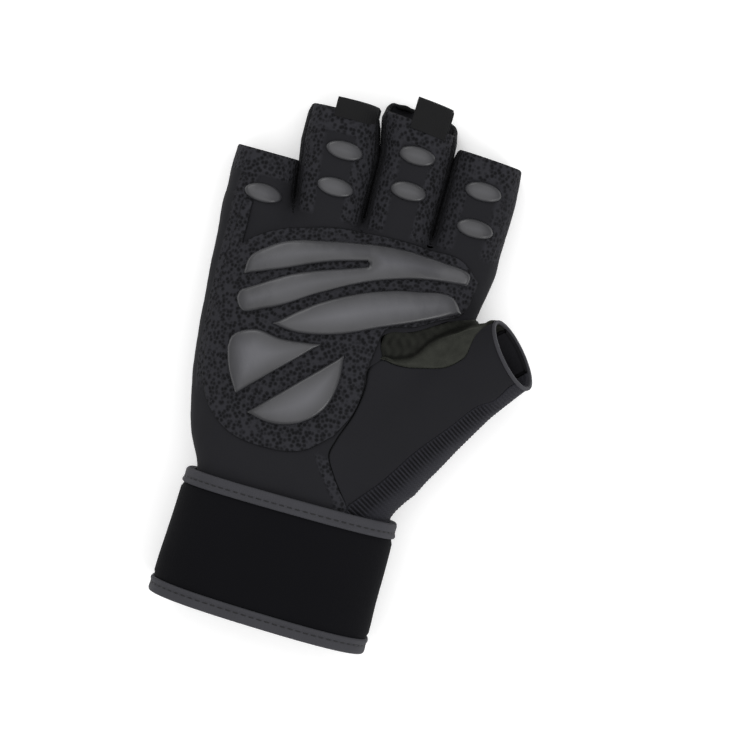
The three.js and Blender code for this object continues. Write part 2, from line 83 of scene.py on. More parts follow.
# A section's widest height as a share of its depth, the powers of its oval above and below it, and how much
# deeper than its base the lower half is drawn, before the base cuts it level
WIDEST = 0.45
UPPER_POWER = 2.5
LOWER_POWER = 3.6
LOWER_DEPTH = 1.03
# Longer than any way over the glove, in mm
FAR_AWAY = 99.0
CLOTH_WALL = 1.6

# Sections of the palm: shares of the palm's length, width and depth, as the solids have them
PALM_ROWS = np.array(
    # along, left, right, base, top
    [
        [-0.120, -0.356, 0.356, 0.124, 1.005],
        [0.020, -0.358, 0.356, 0.120, 1.003],
        [0.120, -0.408, 0.364, 0.050, 0.990],
        [0.240, -0.443, 0.370, 0.000, 0.990],
        [0.410, -0.475, 0.390, 0.000, 0.980],
        [0.600, -0.494, 0.430, 0.000, 0.940],
        [0.800, -0.511, 0.469, 0.000, 0.870],
        [0.920, -0.519, 0.484, 0.000, 0.810],
        [1.000, -0.524, 0.491, 0.000, 0.740],
    ]
).T

# Finger stalls: length in mm, edges as shares of the palm's width at crotch, two thirds and mouth
FINGERS = [
    {"name": "pinky", "length": 17.2, "left": [-0.524, -0.530, -0.528], "right": [-0.277, -0.293, -0.296],
     "skew": 0.0, "back": 0.0, "grips": [("grip_pinky", -0.383, 0.115)]},
    {"name": "ring", "length": 39.6, "left": [-0.267, -0.309, -0.311], "right": [-0.023, -0.028, -0.058],
     "skew": -0.012, "back": 0.0,
     "grips": [("grip_ring_tip", -0.146, 0.63), ("grip_ring_base", -0.143, 0.28)]},
    {"name": "middle", "length": 42.4, "left": [-0.013, -0.020, -0.050], "right": [0.232, 0.232, 0.226],
     "skew": 0.03, "back": 5.0,
     "grips": [("grip_middle_tip", 0.107, 0.71), ("grip_middle_base", 0.110, 0.395)]},
    {"name": "index", "length": 36.2, "left": [0.240, 0.240, 0.242], "right": [0.491, 0.496, 0.485],
     "skew": 0.02, "back": 0.0,
     "grips": [("grip_index_tip", 0.366, 0.66), ("grip_index_base", 0.372, 0.275)]},
]

# Thumb stall: centre in mm, half width and half depth in mm, heading and pitch in degrees
THUMB_ROWS = np.array(
    # x, y, z, half width, half depth, heading, pitch
    [
        [16.6, 48.0, 19.2, 18.5, 13.2, 60.0, 0.0],
        [25.6, 69.2, 19.5, 20.1, 18.0, 57.0, 1.8],
        [37.1, 87.6, 20.8, 18.7, 18.0, 53.0, 6.3],
        [51.2, 107.1, 25.4, 16.4, 14.8, 47.0, 14.0],
        [63.6, 119.0, 31.0, 13.6, 13.2, 41.0, 20.0],
    ]
).T


def ease(at, values, where):
    """Cubic Hermite curve through table values, level beyond its ends; slopes are the table's own
    differences."""
    at = np.asarray(at, float)
    values = np.asarray(values, float)
    slopes = np.gradient(values, at)
    i = np.clip(np.searchsorted(at, where) - 1, 0, len(at) - 2)
    step = at[i + 1] - at[i]
    s = np.clip((where - at[i]) / step, 0.0, 1.0)
    near = (1 + 2 * s) * (1 - s) ** 2 * values[i] + s * (1 - s) ** 2 * step * slopes[i]
    return near + s * s * (3 - 2 * s) * values[i + 1] - s * s * (1 - s) * step * slopes[i + 1]


def smooth_step(low, high, value):
    """Zero below low, one above high, and an S curve between them."""
    s = np.clip((value - low) / (high - low), 0.0, 1.0)
    return s * s * (3 - 2 * s)


def unit(vectors):
    return vectors / np.maximum(np.linalg.norm(vectors, axis=-1, keepdims=True), 1e-9)


def palm_section(y):
    """Left, right, base and top of the palm's section at y, in mm."""
    along = (y - WRIST_Y) / PALM_LENGTH
    left, right, base, top = (ease(PALM_ROWS[0], PALM_ROWS[i], along) for i in range(1, 5))
    return left * PALM_WIDTH, right * PALM_WIDTH, base * PALM_DEPTH, top * PALM_DEPTH


def finger_section(finger, y):
    """Left, right and top of a stall's section at y; the base is the floor."""
    at = [CROTCH_Y, CROTCH_Y + 0.66 * finger["length"], CROTCH_Y + finger["length"]]
    left = np.interp(y, at, finger["left"]) * PALM_WIDTH
    right = np.interp(y, at, finger["right"]) * PALM_WIDTH
    return left, right, np.interp(y, at, [0.74 * PALM_DEPTH, FINGER_DEPTH, FINGER_DEPTH])


def oval_distance(dx, dz, half_width, rise, drop):
    """Distance to an oval, to first order: its power sum less one, over the length of that sum's slope."""
    upper = dz >= 0
    half_depth = np.where(upper, rise, drop)
    power = np.where(upper, UPPER_POWER, LOWER_POWER)
    a = np.maximum(np.abs(dx) / half_width, 1e-5)
    b = np.maximum(np.abs(dz) / half_depth, 1e-5)
    rho = (a**power + b**power) ** (1 / power)
    slope = rho ** (1 - power) * np.hypot(a ** (power - 1) / half_width, b ** (power - 1) / half_depth)
    return (rho - 1) / np.maximum(slope, 0.4 / np.maximum(half_width, half_depth))


def blend_min(a, b, reach):
    """The lower of two distances, with a fillet of the given reach where they meet."""
    h = np.maximum(reach - np.abs(a - b), 0.0) / reach
    return np.minimum(a, b) - h * h * reach / 4


def blend_max(a, b, reach):
    return -blend_min(-a, -b, reach)


def section_distance(x, z, left, right, base, top):
    """Distance to a section that is level where it rests."""
    equator = base + WIDEST * (top - base)
    outside = oval_distance(x - (left + right) / 2, z - equator, (right - left) / 2, top - equator,
                            (equator - base) * LOWER_DEPTH)
    return np.maximum(outside, base - z)


STATIONS = 140
_v = np.linspace(0, 1, STATIONS)
_table = [ease(np.linspace(0, 1, 5), row, _v) for row in THUMB_ROWS]
THUMB_CENTRE = np.stack(_table[:3], 1)
THUMB_HALF = np.stack(_table[3:5], 1)
_heading = np.radians(_table[5])
_pitch = np.radians(_table[6])
THUMB_AHEAD = np.stack([np.cos(_heading) * np.cos(_pitch), np.sin(_heading) * np.cos(_pitch),
                        np.sin(_pitch)], 1)
THUMB_SIDE = np.stack([np.sin(_heading), -np.cos(_heading), 0 * _heading], 1)
THUMB_UP = np.cross(THUMB_SIDE, THUMB_AHEAD)


def thumb_frame(v):
    """Centre, half sizes, side, up and ahead of the thumb stall at shares v of its path."""
    at = np.linspace(0, 1, STATIONS)
    take = lambda table: np.stack([np.interp(v, at, table[:, i]) for i in range(table.shape[1])], -1)
    return take(THUMB_CENTRE), take(THUMB_HALF), take(THUMB_SIDE), take(THUMB_UP), take(THUMB_AHEAD)


def thumb_station(points):
    """The share v of the thumb's path whose section plane holds each point."""
    along = points @ THUMB_AHEAD.T - np.sum(THUMB_CENTRE * THUMB_AHEAD, 1)
    i = np.clip(np.argmin(np.abs(along), 1), 0, STATIONS - 2)
    rows = np.arange(len(points))
    here, after = along[rows, i], along[rows, i + 1]
    gap = here - after
    share = np.clip(here / np.where(np.abs(gap) < 1e-6, 1e-6, gap), -1, 1)
    return np.clip((i + share) / (STATIONS - 1), 0, 1)


def thumb_distance(points):
    """Distance to the thumb stall's oval in its own section plane; its root sinks under the palm."""
    result = np.full(len(points), 60.0)
    near = points[:, 0] > -6
    if near.any():
        p = points[near]
        centre, half, side, up, _ = thumb_frame(thumb_station(p))
        s = np.sum((p - centre) * side, 1) / half[:, 0]
        n = np.sum((p - centre) * up, 1) / half[:, 1]
        rho = np.maximum(np.hypot(s, n), 1e-4)
        slope = np.hypot(s / half[:, 0], n / half[:, 1]) / rho
        result[near] = (rho - 1) / slope + np.maximum(0, 60 - p[:, 1]) * 0.4
    return result


def hand_distance(points):
    """Distance to the outside of the filled glove: palm, four stalls and thumb joined with fillets."""
    x, y, z = points.T
    left, right, base, top = palm_section(y)
    palm = section_distance(x, z, left, right, base, top)
    palm = blend_max(palm, y - CROTCH_Y, PALM_END_ROUND)
    stalls = np.full(len(points), 60.0)
    for finger in FINGERS:
        f_left, f_right, f_top = finger_section(finger, y)
        sunk = 0.03 * np.maximum(0, CROTCH_Y - y) ** 2
        stall = section_distance(x, z, f_left, f_right, 0 * y, f_top) + sunk
        past = y - CROTCH_Y - finger["length"] - finger["back"] * (z < 0.6 * FINGER_DEPTH) - 2.5
        stalls = np.minimum(stalls, np.maximum(stall, past))
    return blend_min(blend_min(palm, stalls, STALL_ROUND), thumb_distance(points), THUMB_ROUND)


def settle(points, outward, height, steps=14):
    """Move points along their outward directions until they lie at a height over the glove's outside."""
    points = points.copy()
    for _ in range(steps):
        points += outward * (0.9 * np.clip(height - hand_distance(points), -6, 6))[:, None]
    return points


def drape(plan, height, start=42.0):
    """Points over plan places, dropped onto the palm side and lifted to a height over it."""
    points = np.column_stack([plan, np.full(len(plan), start)])
    up = np.tile([0.0, 0.0, 1.0], (len(plan), 1))
    return settle(points, up, height, 18)


def curve_points(points, count):
    """A smooth curve through plan points (Catmull-Rom by chord length), resampled at equal steps."""
    points = np.asarray(points, float)
    at = np.concatenate([[0], np.cumsum(np.linalg.norm(np.diff(points, axis=0), axis=1))])
    fine = np.linspace(0, at[-1], count * 4)
    dense = np.stack([ease(at, points[:, i], fine) for i in range(points.shape[1])], 1)
    along = np.concatenate([[0], np.cumsum(np.linalg.norm(np.diff(dense, axis=0), axis=1))])
    even = np.linspace(0, along[-1], count)
    return np.stack([np.interp(even, along, dense[:, i]) for i in range(points.shape[1])], 1)


def plan_point(across, along):
    return [across * PALM_WIDTH, WRIST_Y + along * PALM_LENGTH]


def distance_to_line(plan, line, closed=False):
    """Shortest plan distance from each place to a polyline."""
    a = np.asarray(line, float)
    b = np.roll(a, -1, 0) if closed else a[1:]
    a = a if closed else a[:-1]
    best = np.full(len(plan), 1e9)
    for start, end in zip(a, b):
        run = end - start
        t = np.clip(((plan - start) @ run) / max(run @ run, 1e-9), 0, 1)
        best = np.minimum(best, np.linalg.norm(plan - start - t[:, None] * run, axis=1))
    return best


def inside_outline(plan, outline):
    """Which places lie inside a closed outline, by counting the edges that a ray crosses."""
    x, y = plan.T
    inside = np.zeros(len(plan), bool)
    for (ax, ay), (bx, by) in zip(outline, np.roll(outline, -1, 0)):
        if ay == by:
            continue
        crosses = (ay > y) != (by > y)
        inside ^= crosses & (x < (bx - ax) * (y - ay) / (by - ay) + ax)
    return inside


def wave_noise(points, scale, seed, octaves=3):
    """Soft noise in -1 to 1: a sum of sine waves in seeded random directions, scale in mm."""
    rng = np.random.default_rng(seed)
    total = np.zeros(len(points))
    weight = 0.0
    for octave in range(octaves):
        for _ in range(5):
            direction = rng.normal(size=points.shape[1])
            direction *= 2 * pi * 2**octave / scale / np.linalg.norm(direction)
            total += np.sin(points @ direction + rng.uniform(0, 2 * pi)) / 2**octave
        weight += 5 / 2**octave
    return total / weight * 1.8


def grid_quads(rows, cols, close_rows=False, close_cols=False):
    """Vertex numbers of the quads of a grid, whose two directions may each close on themselves."""
    i = np.arange(rows if close_rows else rows - 1)
    j = np.arange(cols if close_cols else cols - 1)
    i, j = np.meshgrid(i, j, indexing="ij")
    here = i * cols + j
    right = i * cols + (j + 1) % cols
    above = ((i + 1) % rows) * cols + j
    corner = ((i + 1) % rows) * cols + (j + 1) % cols
    return np.stack([here, right, corner, above], -1).reshape(-1, 4)


def face_out(points, quads, outward):
    """The same faces, turned so that they look along the outward directions."""
    a, b, c = (points[quads[:, i]] for i in range(3))
    normal = np.cross(b - a, c - a)
    score = np.sum(normal * outward[quads[:, 0]])
    return quads if score > 0 else quads[:, ::-1]


def add_piece(name, points, faces, material, slot, node=None, wall=None, extra=None, uv=None):
    """Make one object from points in the hand frame: a mesh in metres at the origin, riding on the body."""
    name = name if name.endswith(slot) else name + "_" + slot
    mesh = bpy.data.meshes.new(name)
    points = (np.asarray(points) + ORIGIN) * MM
    sides = faces.shape[1]
    mesh.vertices.add(len(points))
    mesh.vertices.foreach_set("co", points.ravel())
    mesh.loops.add(faces.size)
    mesh.loops.foreach_set("vertex_index", faces.ravel().astype(np.int32))
    mesh.polygons.add(len(faces))
    mesh.polygons.foreach_set("loop_start", np.arange(0, faces.size, sides, dtype=np.int32))
    mesh.polygons.foreach_set("use_smooth", np.ones(len(faces), bool))
    for key, values in (extra or {}).items():
        mesh.attributes.new(key, "FLOAT", "POINT").data.foreach_set("value", np.asarray(values, np.float32))
    if uv is not None:
        layer = mesh.uv_layers.new(name="weave")
        layer.data.foreach_set("uv", np.asarray(uv, np.float32)[faces.ravel()].ravel())
    mesh.update(calc_edges=True)
    mesh.validate()
    mesh.materials.append(material)
    piece = bpy.data.objects.new(name, mesh)
    bpy.context.collection.objects.link(piece)
    if wall:
        solid = piece.modifiers.new("wall", "SOLIDIFY")
        solid.thickness = wall * MM
        solid.offset = -1
        solid.use_even_offset = False
    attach(piece, "root")
    if node:
        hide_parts(*([node] if isinstance(node, str) else node))
    return piece


# Seam lines in plan, as shares of the palm's width and length
def plan_line(shares):
    return np.array([plan_point(across, along) for across, along in shares])


THUMB_SEAM = plan_line(
    [(0.214, -0.14), (0.194, 0.03), (0.165, 0.065), (0.118, 0.128), (0.089, 0.184), (0.099, 0.237),
     (0.134, 0.347), (0.147, 0.472), (0.142, 0.51), (0.18, 0.562)]
)
WEB_LOWER = plan_line(
    [(0.18, 0.562), (0.212, 0.556), (0.261, 0.556), (0.325, 0.57), (0.404, 0.596), (0.448, 0.638),
     (0.475, 0.69), (0.515, 0.775)]
)
WEB_UPPER = plan_line(
    [(0.18, 0.568), (0.165, 0.602), (0.168, 0.647), (0.263, 0.683), (0.326, 0.722), (0.406, 0.769),
     (0.459, 0.785)]
)
GUSSET_EDGE = plan_line(
    [(0.204, 0.03), (0.289, 0.134), (0.384, 0.279), (0.479, 0.399), (0.555, 0.495), (0.593, 0.52),
     (0.632, 0.581)]
)
BACK_SEAM = plan_line([(0.291, -0.14), (0.252, 0.118), (0.272, 0.314), (0.33, 0.51), (0.427, 0.667),
                       (0.5, 0.765)])


def section_at(angle, left, right, base, top):
    """x and z on a section at a turn: the turn's cosine and sine, each to the power of two over the half's
    power, times the half sizes; and the outward direction there."""
    upper = np.sin(angle) >= 0
    power = np.where(upper, UPPER_POWER, LOWER_POWER)
    equator = base + WIDEST * (top - base)
    across = np.sign(np.cos(angle)) * np.abs(np.cos(angle)) ** (2 / power)
    up = np.abs(np.sin(angle)) ** (2 / power)
    half = (right - left) / 2
    depth = np.where(upper, top - equator, (equator - base) * LOWER_DEPTH)
    z = np.where(upper, equator + depth * up, np.maximum(base, equator - depth * up))
    nx = np.sign(across) * np.abs(across) ** (power - 1) / half
    nz = np.where(upper, 1, -1) * up ** (power - 1) / depth
    return (left + right) / 2 + half * across, z, nx, nz


def turn_at_height(z, base, top):
    """The turn on the thumb side at which a section reaches height z."""
    equator = base + WIDEST * (top - base)
    over = np.clip((z - equator) / (top - equator), 0, 1) ** (UPPER_POWER / 2)
    under = np.clip((equator - z) / ((equator - base) * LOWER_DEPTH), 0, 1) ** (LOWER_POWER / 2)
    return np.where(z >= equator, np.arcsin(over), -np.arcsin(under))


def turn_at_place(x, left, right, upper):
    """The turn on the palm side or the back at which a section passes x."""
    share = np.clip((x - (left + right) / 2) / ((right - left) / 2), -1, 1)
    power = UPPER_POWER if upper else LOWER_POWER
    turn = np.arccos(np.sign(share) * np.abs(share) ** (power / 2))
    return turn if upper else -turn


def grid_normals(points, outward):
    """Unit normals of a grid from its own differences, turned to the outward side."""
    across = np.gradient(points, axis=1)
    along = np.gradient(points, axis=0)
    normal = unit(np.cross(across, along))
    return normal * np.where(np.sum(normal * outward, -1, keepdims=True) < 0, -1.0, 1.0)


def border_distance(points, low_row, high_row, low_col, high_col):
    """Length along the grid to the nearest of the named borders; a border's weight fades it out."""
    result = np.full(points.shape[:2], FAR_AWAY)
    rows = np.linalg.norm(np.diff(points, axis=0), axis=2)
    cols = np.linalg.norm(np.diff(points, axis=1), axis=2)
    down = np.vstack([np.zeros((1, points.shape[1])), np.cumsum(rows, 0)])
    side = np.hstack([np.zeros((points.shape[0], 1)), np.cumsum(cols, 1)])
    for use, distance in ((low_row, down), (high_row, down[-1:] - down), (low_col, side),
                          (high_col, side[:, -1:] - side)):
        if use is not None and use is not False:
            result = np.minimum(result, distance + FAR_AWAY * (1 - np.asarray(use, float)))
    return result


def seam_roll(distance, depth=0.6, reach=1.0):
    """A turned edge: a quarter circle that falls by depth over the last stretch before a border."""
    s = np.clip(1 - distance / reach, 0, 1)
    return -depth * (1 - np.sqrt(np.maximum(1 - s * s, 0)))


def spread(count, edge=0.02, ends=2):
    """Shares from 0 to 1 with a few close ones at both ends, for the turned edges."""
    inner = np.linspace(edge, 1 - edge, count - 2 * ends)
    close = edge * np.arange(ends) / ends
    return np.concatenate([close, inner, 1 - close[::-1]])


def right_border(y, upper):
    """Plan x of a hand panel's thumb side seam at y."""
    line = np.vstack([THUMB_SEAM, WEB_UPPER[1:]]) if upper else BACK_SEAM
    return ease(line[:, 1], line[:, 0], y)


PANEL_COLS = 40
PALM_ROWS_COUNT = 112
STALL_ROWS = 46
# The panels start inside the wrap, and the stalls part at these shares of the palm's width
PANEL_START = 41.0
STALL_LINES = [-0.272, -0.018, 0.236]


def panel_strips(upper):
    """Points and outward directions of a hand panel as four strips of rows by columns, side by side below
    the crotches. Each row blends from the palm's section to the stall's over the last stretch before the
    crotch."""
    below = np.linspace(PANEL_START, CROTCH_Y - 1.0, PALM_ROWS_COUNT)
    strips = []
    for number, finger in enumerate(FINGERS):
        t = spread(PANEL_COLS, 0.04)[None, :]
        s = np.concatenate([np.zeros(PALM_ROWS_COUNT), spread(STALL_ROWS, 0.03)])[:, None]
        level = np.concatenate([below, np.full(STALL_ROWS, CROTCH_Y)])[:, None]
        reach = s * finger["length"]
        y = level + reach
        left, right, base, top = palm_section(y)
        seam = turn_at_height(SEAM_HEIGHT, base, top)
        border = right_border(y[:, 0], upper)[:, None]
        to_side = smooth_step(125.0, 129.0, y)
        start = np.where(seam > 0, pi - seam, pi - seam)
        cut = turn_at_place(border, left, right, upper)
        if upper:
            end = cut * (1 - to_side) + seam * to_side
        else:
            start = -pi - seam
            end = cut * (1 - to_side) + seam * to_side
        lines = [share * PALM_WIDTH for share in STALL_LINES]
        marks = [start] + [turn_at_place(line, left, right, upper) for line in lines] + [end]
        share = (number + t) / 4
        even = start + (end - start) * share
        own = marks[number] + (marks[number + 1] - marks[number]) * t
        by_finger = smooth_step(129.0, 146.0, y)
        angle = even * (1 - by_finger) + own * by_finger
        px, pz, pnx, pnz = section_at(angle, left, right, base, top)
        f_left, f_right, f_top = finger_section(finger, y)
        zero = 0 * f_top
        inner = STRIP_HIGH if upper else STRIP_LOW
        low_turn = turn_at_height(SEAM_HEIGHT if number == 0 else inner, zero, f_top)
        high_turn = turn_at_height(SEAM_HEIGHT if number == 3 else inner, zero, f_top)
        if upper:
            f_angle = (pi - low_turn) + (high_turn - pi + low_turn) * t
        else:
            f_angle = (-pi - low_turn) + (high_turn + pi + low_turn) * t
        fx, fz, fnx, fnz = section_at(f_angle, f_left, f_right, zero, f_top)
        blend = smooth_step(146.0, 152.0, y)
        x = px * (1 - blend) + fx * blend
        z = pz * (1 - blend) + fz * blend
        out_x, out_z = pnx * (1 - blend) + fnx * blend, pnz * (1 - blend) + fnz * blend
        outward = unit(np.stack([out_x, 0 * x, out_z], -1))
        half = (f_right - f_left) / 2
        skew = finger["skew"] * finger["length"] * ((f_left + f_right) / 2 - x) / half
        back = finger["back"] * np.maximum(0, 1 - z / (FINGER_DEPTH * 0.6))
        lean = MOUTH_LEAN * (1 - z / FINGER_DEPTH)
        points = np.stack([x, y + 0 * x, z], -1)
        points[:, :, 1] += s**2 * (skew + back + lean)
        strips.append((points, outward, blend))
    return strips


def stall_coordinates(plan):
    """For each place: its stall's number, share across the stall, and millimetres down from the stall's
    mouth."""
    x, y = plan.T
    number = np.digitize(x, [-0.29 * PALM_WIDTH, -0.035 * PALM_WIDTH, 0.237 * PALM_WIDTH])
    across = np.zeros(len(x))
    down = np.zeros(len(x))
    for i, finger in enumerate(FINGERS):
        mine = number == i
        left, right, _ = finger_section(finger, y[mine])
        across[mine] = (x[mine] - left) / (right - left)
        down[mine] = CROTCH_Y + finger["length"] - y[mine]
    return number, across, down


def emboss_mask(plan):
    """Where the palm side's cloth is embossed: bands along the stalls and over their tops, one down the
    outer side, and one beside the thumb seam."""
    x, y = plan.T
    number, across, down = stall_coordinates(plan)
    on_stalls = smooth_step(149.0, 151.0, y)
    side_bands = np.maximum(1 - smooth_step(0.27, 0.31, across), smooth_step(0.68, 0.72, across))
    side_bands *= np.where(number == 0, 0.0, np.where(number == 3, 0.8, 1.0))
    side_bands *= smooth_step(0.05, 0.08, across)
    tops = 1 - smooth_step(8.0, 9.5, down)
    stalls = np.maximum(side_bands, tops) * on_stalls
    edge = ease([60.0, 80.0, 100.0, 130.0, 165.0], [-41.0, -45.6, -48.0, -49.6, -50.0], y)
    outer = smooth_step(edge, edge + 0.8, x) * (1 - smooth_step(edge + 6.5, edge + 7.6, x))
    outer *= smooth_step(74.0, 84.0, y)
    seam = ease(THUMB_SEAM[:, 1], THUMB_SEAM[:, 0], y)
    root = smooth_step(-6.0, -4.5, x - seam) * (1 - smooth_step(64.0, 67.0, y))
    return np.clip(np.maximum(np.maximum(stalls, outer), root), 0, 1)


def hand_panel(name, upper, material, slot):
    """One cloth panel: four strips joined below the crotches, settled on the glove's outside, edges turned
    in."""
    strips = panel_strips(upper)
    rows = PALM_ROWS_COUNT + STALL_ROWS
    cols = PANEL_COLS * 4
    points = np.concatenate([strip[0] for strip in strips], 1)
    outward = np.concatenate([strip[1] for strip in strips], 1)
    points = settle(points.reshape(-1, 3), outward.reshape(-1, 3), -0.0).reshape(rows, cols, 3)
    relief = np.zeros((rows, cols))
    border = np.zeros((rows, cols))
    normals = np.zeros_like(points)
    for number, strip in enumerate(strips):
        cut = slice(number * PANEL_COLS, (number + 1) * PANEL_COLS)
        split = strip[2] * np.ones((1, PANEL_COLS))
        low_side = 1.0 if number == 0 else split
        high_side = 1.0 if number == 3 else split
        distance = border_distance(points[:, cut], False, True, low_side, high_side)
        relief[:, cut] = seam_roll(distance)
        border[:, cut] = distance
    normals[:PALM_ROWS_COUNT] = grid_normals(points[:PALM_ROWS_COUNT], outward[:PALM_ROWS_COUNT])
    for number in range(4):
        cut = slice(number * PANEL_COLS, (number + 1) * PANEL_COLS)
        part = slice(PALM_ROWS_COUNT - 1, rows)
        normals[PALM_ROWS_COUNT:, cut] = grid_normals(points[part, cut], outward[part, cut])[1:]
    flat = points.reshape(-1, 3)
    soft = 0.14 * wave_noise(flat, 17.0, 3) + 0.05 * wave_noise(flat, 5.0, 4)
    flat = flat + normals.reshape(-1, 3) * (relief.ravel() + soft)[:, None]
    if not upper:
        flat[:, 2] = np.maximum(flat[:, 2], 0.05)
    quads = grid_quads(rows, cols)
    row, col = quads[:, 0] // cols, quads[:, 0] % cols
    crosses = (col % PANEL_COLS == PANEL_COLS - 1) & (row != PALM_ROWS_COUNT - 1)
    shared = np.arange(rows * cols).reshape(rows, cols)
    last = np.arange(1, 4) * PANEL_COLS - 1
    shared[: PALM_ROWS_COUNT - 1, last] = shared[: PALM_ROWS_COUNT - 1, last + 1]
    quads = face_out(flat, shared.ravel()[quads[~crosses]], outward.reshape(-1, 3))
    used, places = np.unique(quads, return_inverse=True)
    quads, flat, border = places.reshape(quads.shape), flat[used], border.ravel()[used]
    mask = emboss_mask(flat[:, :2]) if upper else np.zeros(len(flat))
    return add_piece(name, flat, quads, material, slot, name, wall=CLOTH_WALL,
                     extra={"emboss": mask, "edge": border})


def side_strip(name, here, after, material, slot):
    """The cloth between two stalls: down one stall's side, round the crotch and up the next one's."""
    heights = np.linspace(STRIP_HIGH + 0.5, STRIP_LOW - 0.7, 16)
    runs = []
    for finger, side in ((here, 1), (after, -1)):
        s = spread(40, 0.03)[:, None]
        y = CROTCH_Y + 0.8 + s * (finger["length"] - 0.8)
        left, right, top = finger_section(finger, y)
        turn = turn_at_height(heights[None, :], 0 * top, top)
        x, z, nx, nz = section_at(turn if side > 0 else pi - turn, left, right, 0 * top, top)
        skew = finger["skew"] * finger["length"] * ((left + right) / 2 - x) / ((right - left) / 2)
        back = finger["back"] * np.maximum(0, 1 - z / (FINGER_DEPTH * 0.6))
        lean = MOUTH_LEAN * (1 - z / FINGER_DEPTH)
        points = np.stack([x, y + s**2 * (skew + back + lean), z], -1)
        outward = unit(np.stack([nx, 0 * nx, nz], -1))
        settled = settle(points.reshape(-1, 3), outward.reshape(-1, 3), -0.1).reshape(points.shape)
        # Inside the fillet at the crotch a point would pass through the next stall, so its way is limited
        points = points + np.clip(settled - points, -2.6, 2.6)
        bulge = smooth_step(-0.04, 0.06, s) * (1 - smooth_step(0.9, 1.0, s))
        bulge = bulge * np.sin(pi * np.linspace(0, 1, 16)) ** 0.5
        points[..., 0] += side * STRIP_BULGE * bulge
        runs.append((points, outward))
    first = (runs[0][0][::-1], runs[0][1][::-1])
    turn_points = (first[0][-1] + runs[1][0][0]) / 2 + np.array([0, -2.0, 0])
    turn_out = np.tile([0.0, 1.0, 0.0], (len(heights), 1))
    points = np.concatenate([first[0], turn_points[None], runs[1][0]])
    outward = np.concatenate([first[1], turn_out[None], runs[1][1]])
    distance = border_distance(points, True, True, True, True)
    flat = (points + outward * seam_roll(distance)[..., None]).reshape(-1, 3)
    quads = face_out(flat, grid_quads(*points.shape[:2]), outward.reshape(-1, 3))
    # The edge value is held at 0.2, so the whole strip takes the darkened edge colour: painted shade between
    # the stalls
    return add_piece(name, flat, quads, material, slot, name, wall=1.4,
                     extra={"emboss": np.ones(len(flat)), "edge": np.minimum(distance.ravel(), 0.2)})


def thumb_surface(v, turn, height=0.0):
    """Points on the glove's outside along rays from the thumb's path: a share v of the path and a turn
    about it, from the stall's outer side over its palm side."""
    v, turn = np.broadcast_arrays(v, turn)
    shape = v.shape
    v, turn = v.ravel(), turn.ravel()
    centre, half, side, up, _ = thumb_frame(v)
    outward = np.cos(turn)[:, None] * side + np.sin(turn)[:, None] * up
    points = centre + outward * (half.mean(1) * 1.05)[:, None]
    points = settle(points, outward, height, 16)
    return points.reshape(*shape, 3), outward.reshape(*shape, 3)


def thumb_turns(line, underneath=False):
    """Where a plan line runs about the thumb's path: its shares v and turns, from its points on the
    surface."""
    plan = curve_points(line, 60)
    start = np.column_stack([plan, np.full(60, -6.0 if underneath else 44.0)])
    up = np.tile([0.0, 0.0, -1.0 if underneath else 1.0], (60, 1))
    points = settle(start, up, 0.0, 18)
    v = thumb_station(points)
    centre, _, side, up, _ = thumb_frame(v)
    turn = np.arctan2(np.sum((points - centre) * up, 1), np.sum((points - centre) * side, 1))
    if underneath:
        turn = np.where(turn > 0, turn - 2 * pi, turn)
    else:
        turn = np.where(turn < -pi * 0.5, turn + 2 * pi, turn)
    order = np.argsort(v)
    return v[order], turn[order]


def led_turn(v, v_line, t_line, start, last):
    """A line's turn at v, led over from its turn at a start to a last turn at the mouth."""
    share = smooth_step(start, 1.0, v)
    led = np.interp(start, v_line, t_line) * (1 - share) + last * share
    return np.where(v < start, np.interp(v, v_line, t_line), led)


def thumb_edges():
    """Turns, as functions of v, of the thumb panel's two seams and of the thumb back's inner seam."""
    v_seam, t_seam = thumb_turns(np.vstack([THUMB_SEAM[1:], WEB_LOWER[1:-1]]))
    inner = lambda v: led_turn(v, v_seam, t_seam, 0.8, pi)
    v_edge, t_edge = thumb_turns(GUSSET_EDGE)
    outer = lambda v: np.interp(v, v_edge, t_edge)
    v_back, t_back = thumb_turns(BACK_SEAM[1:-1], underneath=True)
    under = lambda v: led_turn(v, v_back, t_back, 0.75, radians(-140))
    return inner, outer, under


THUMB_INNER, THUMB_OUTER, THUMB_UNDER = thumb_edges()
GUSSET_LOW = radians(-50)
CUFF_LIMIT = 43.0
RIB_PITCH = 1.5


def thumb_sheet(low_turn, high_turn, rows, cols, edge=0.03):
    """A grid about the thumb's path between two turns, from just inside the wrap to the stall's mouth. The
    start of each column is halved towards the place where the surface passes the wrap's edge."""
    t = spread(cols, edge)
    low, high = np.full(cols, -0.12), np.full(cols, 0.75)
    turn_of = lambda v: low_turn(v) + (high_turn(v) - low_turn(v)) * t
    for _ in range(11):
        middle = (low + high) / 2
        points, _ = thumb_surface(middle, turn_of(middle))
        inside = points[:, 1] < CUFF_LIMIT
        low, high = np.where(inside, middle, low), np.where(inside, high, middle)
    start = np.clip(low, 0.0, 1.0)
    u = np.concatenate([np.linspace(0, 0.97, rows - 3), [0.98, 0.99, 1.0]])[:, None]
    v = start[None, :] + u * (1 - start[None, :])
    turn = low_turn(v) + (high_turn(v) - low_turn(v)) * t[None, :]
    points, outward = thumb_surface(v, turn)
    return points, outward, v, turn


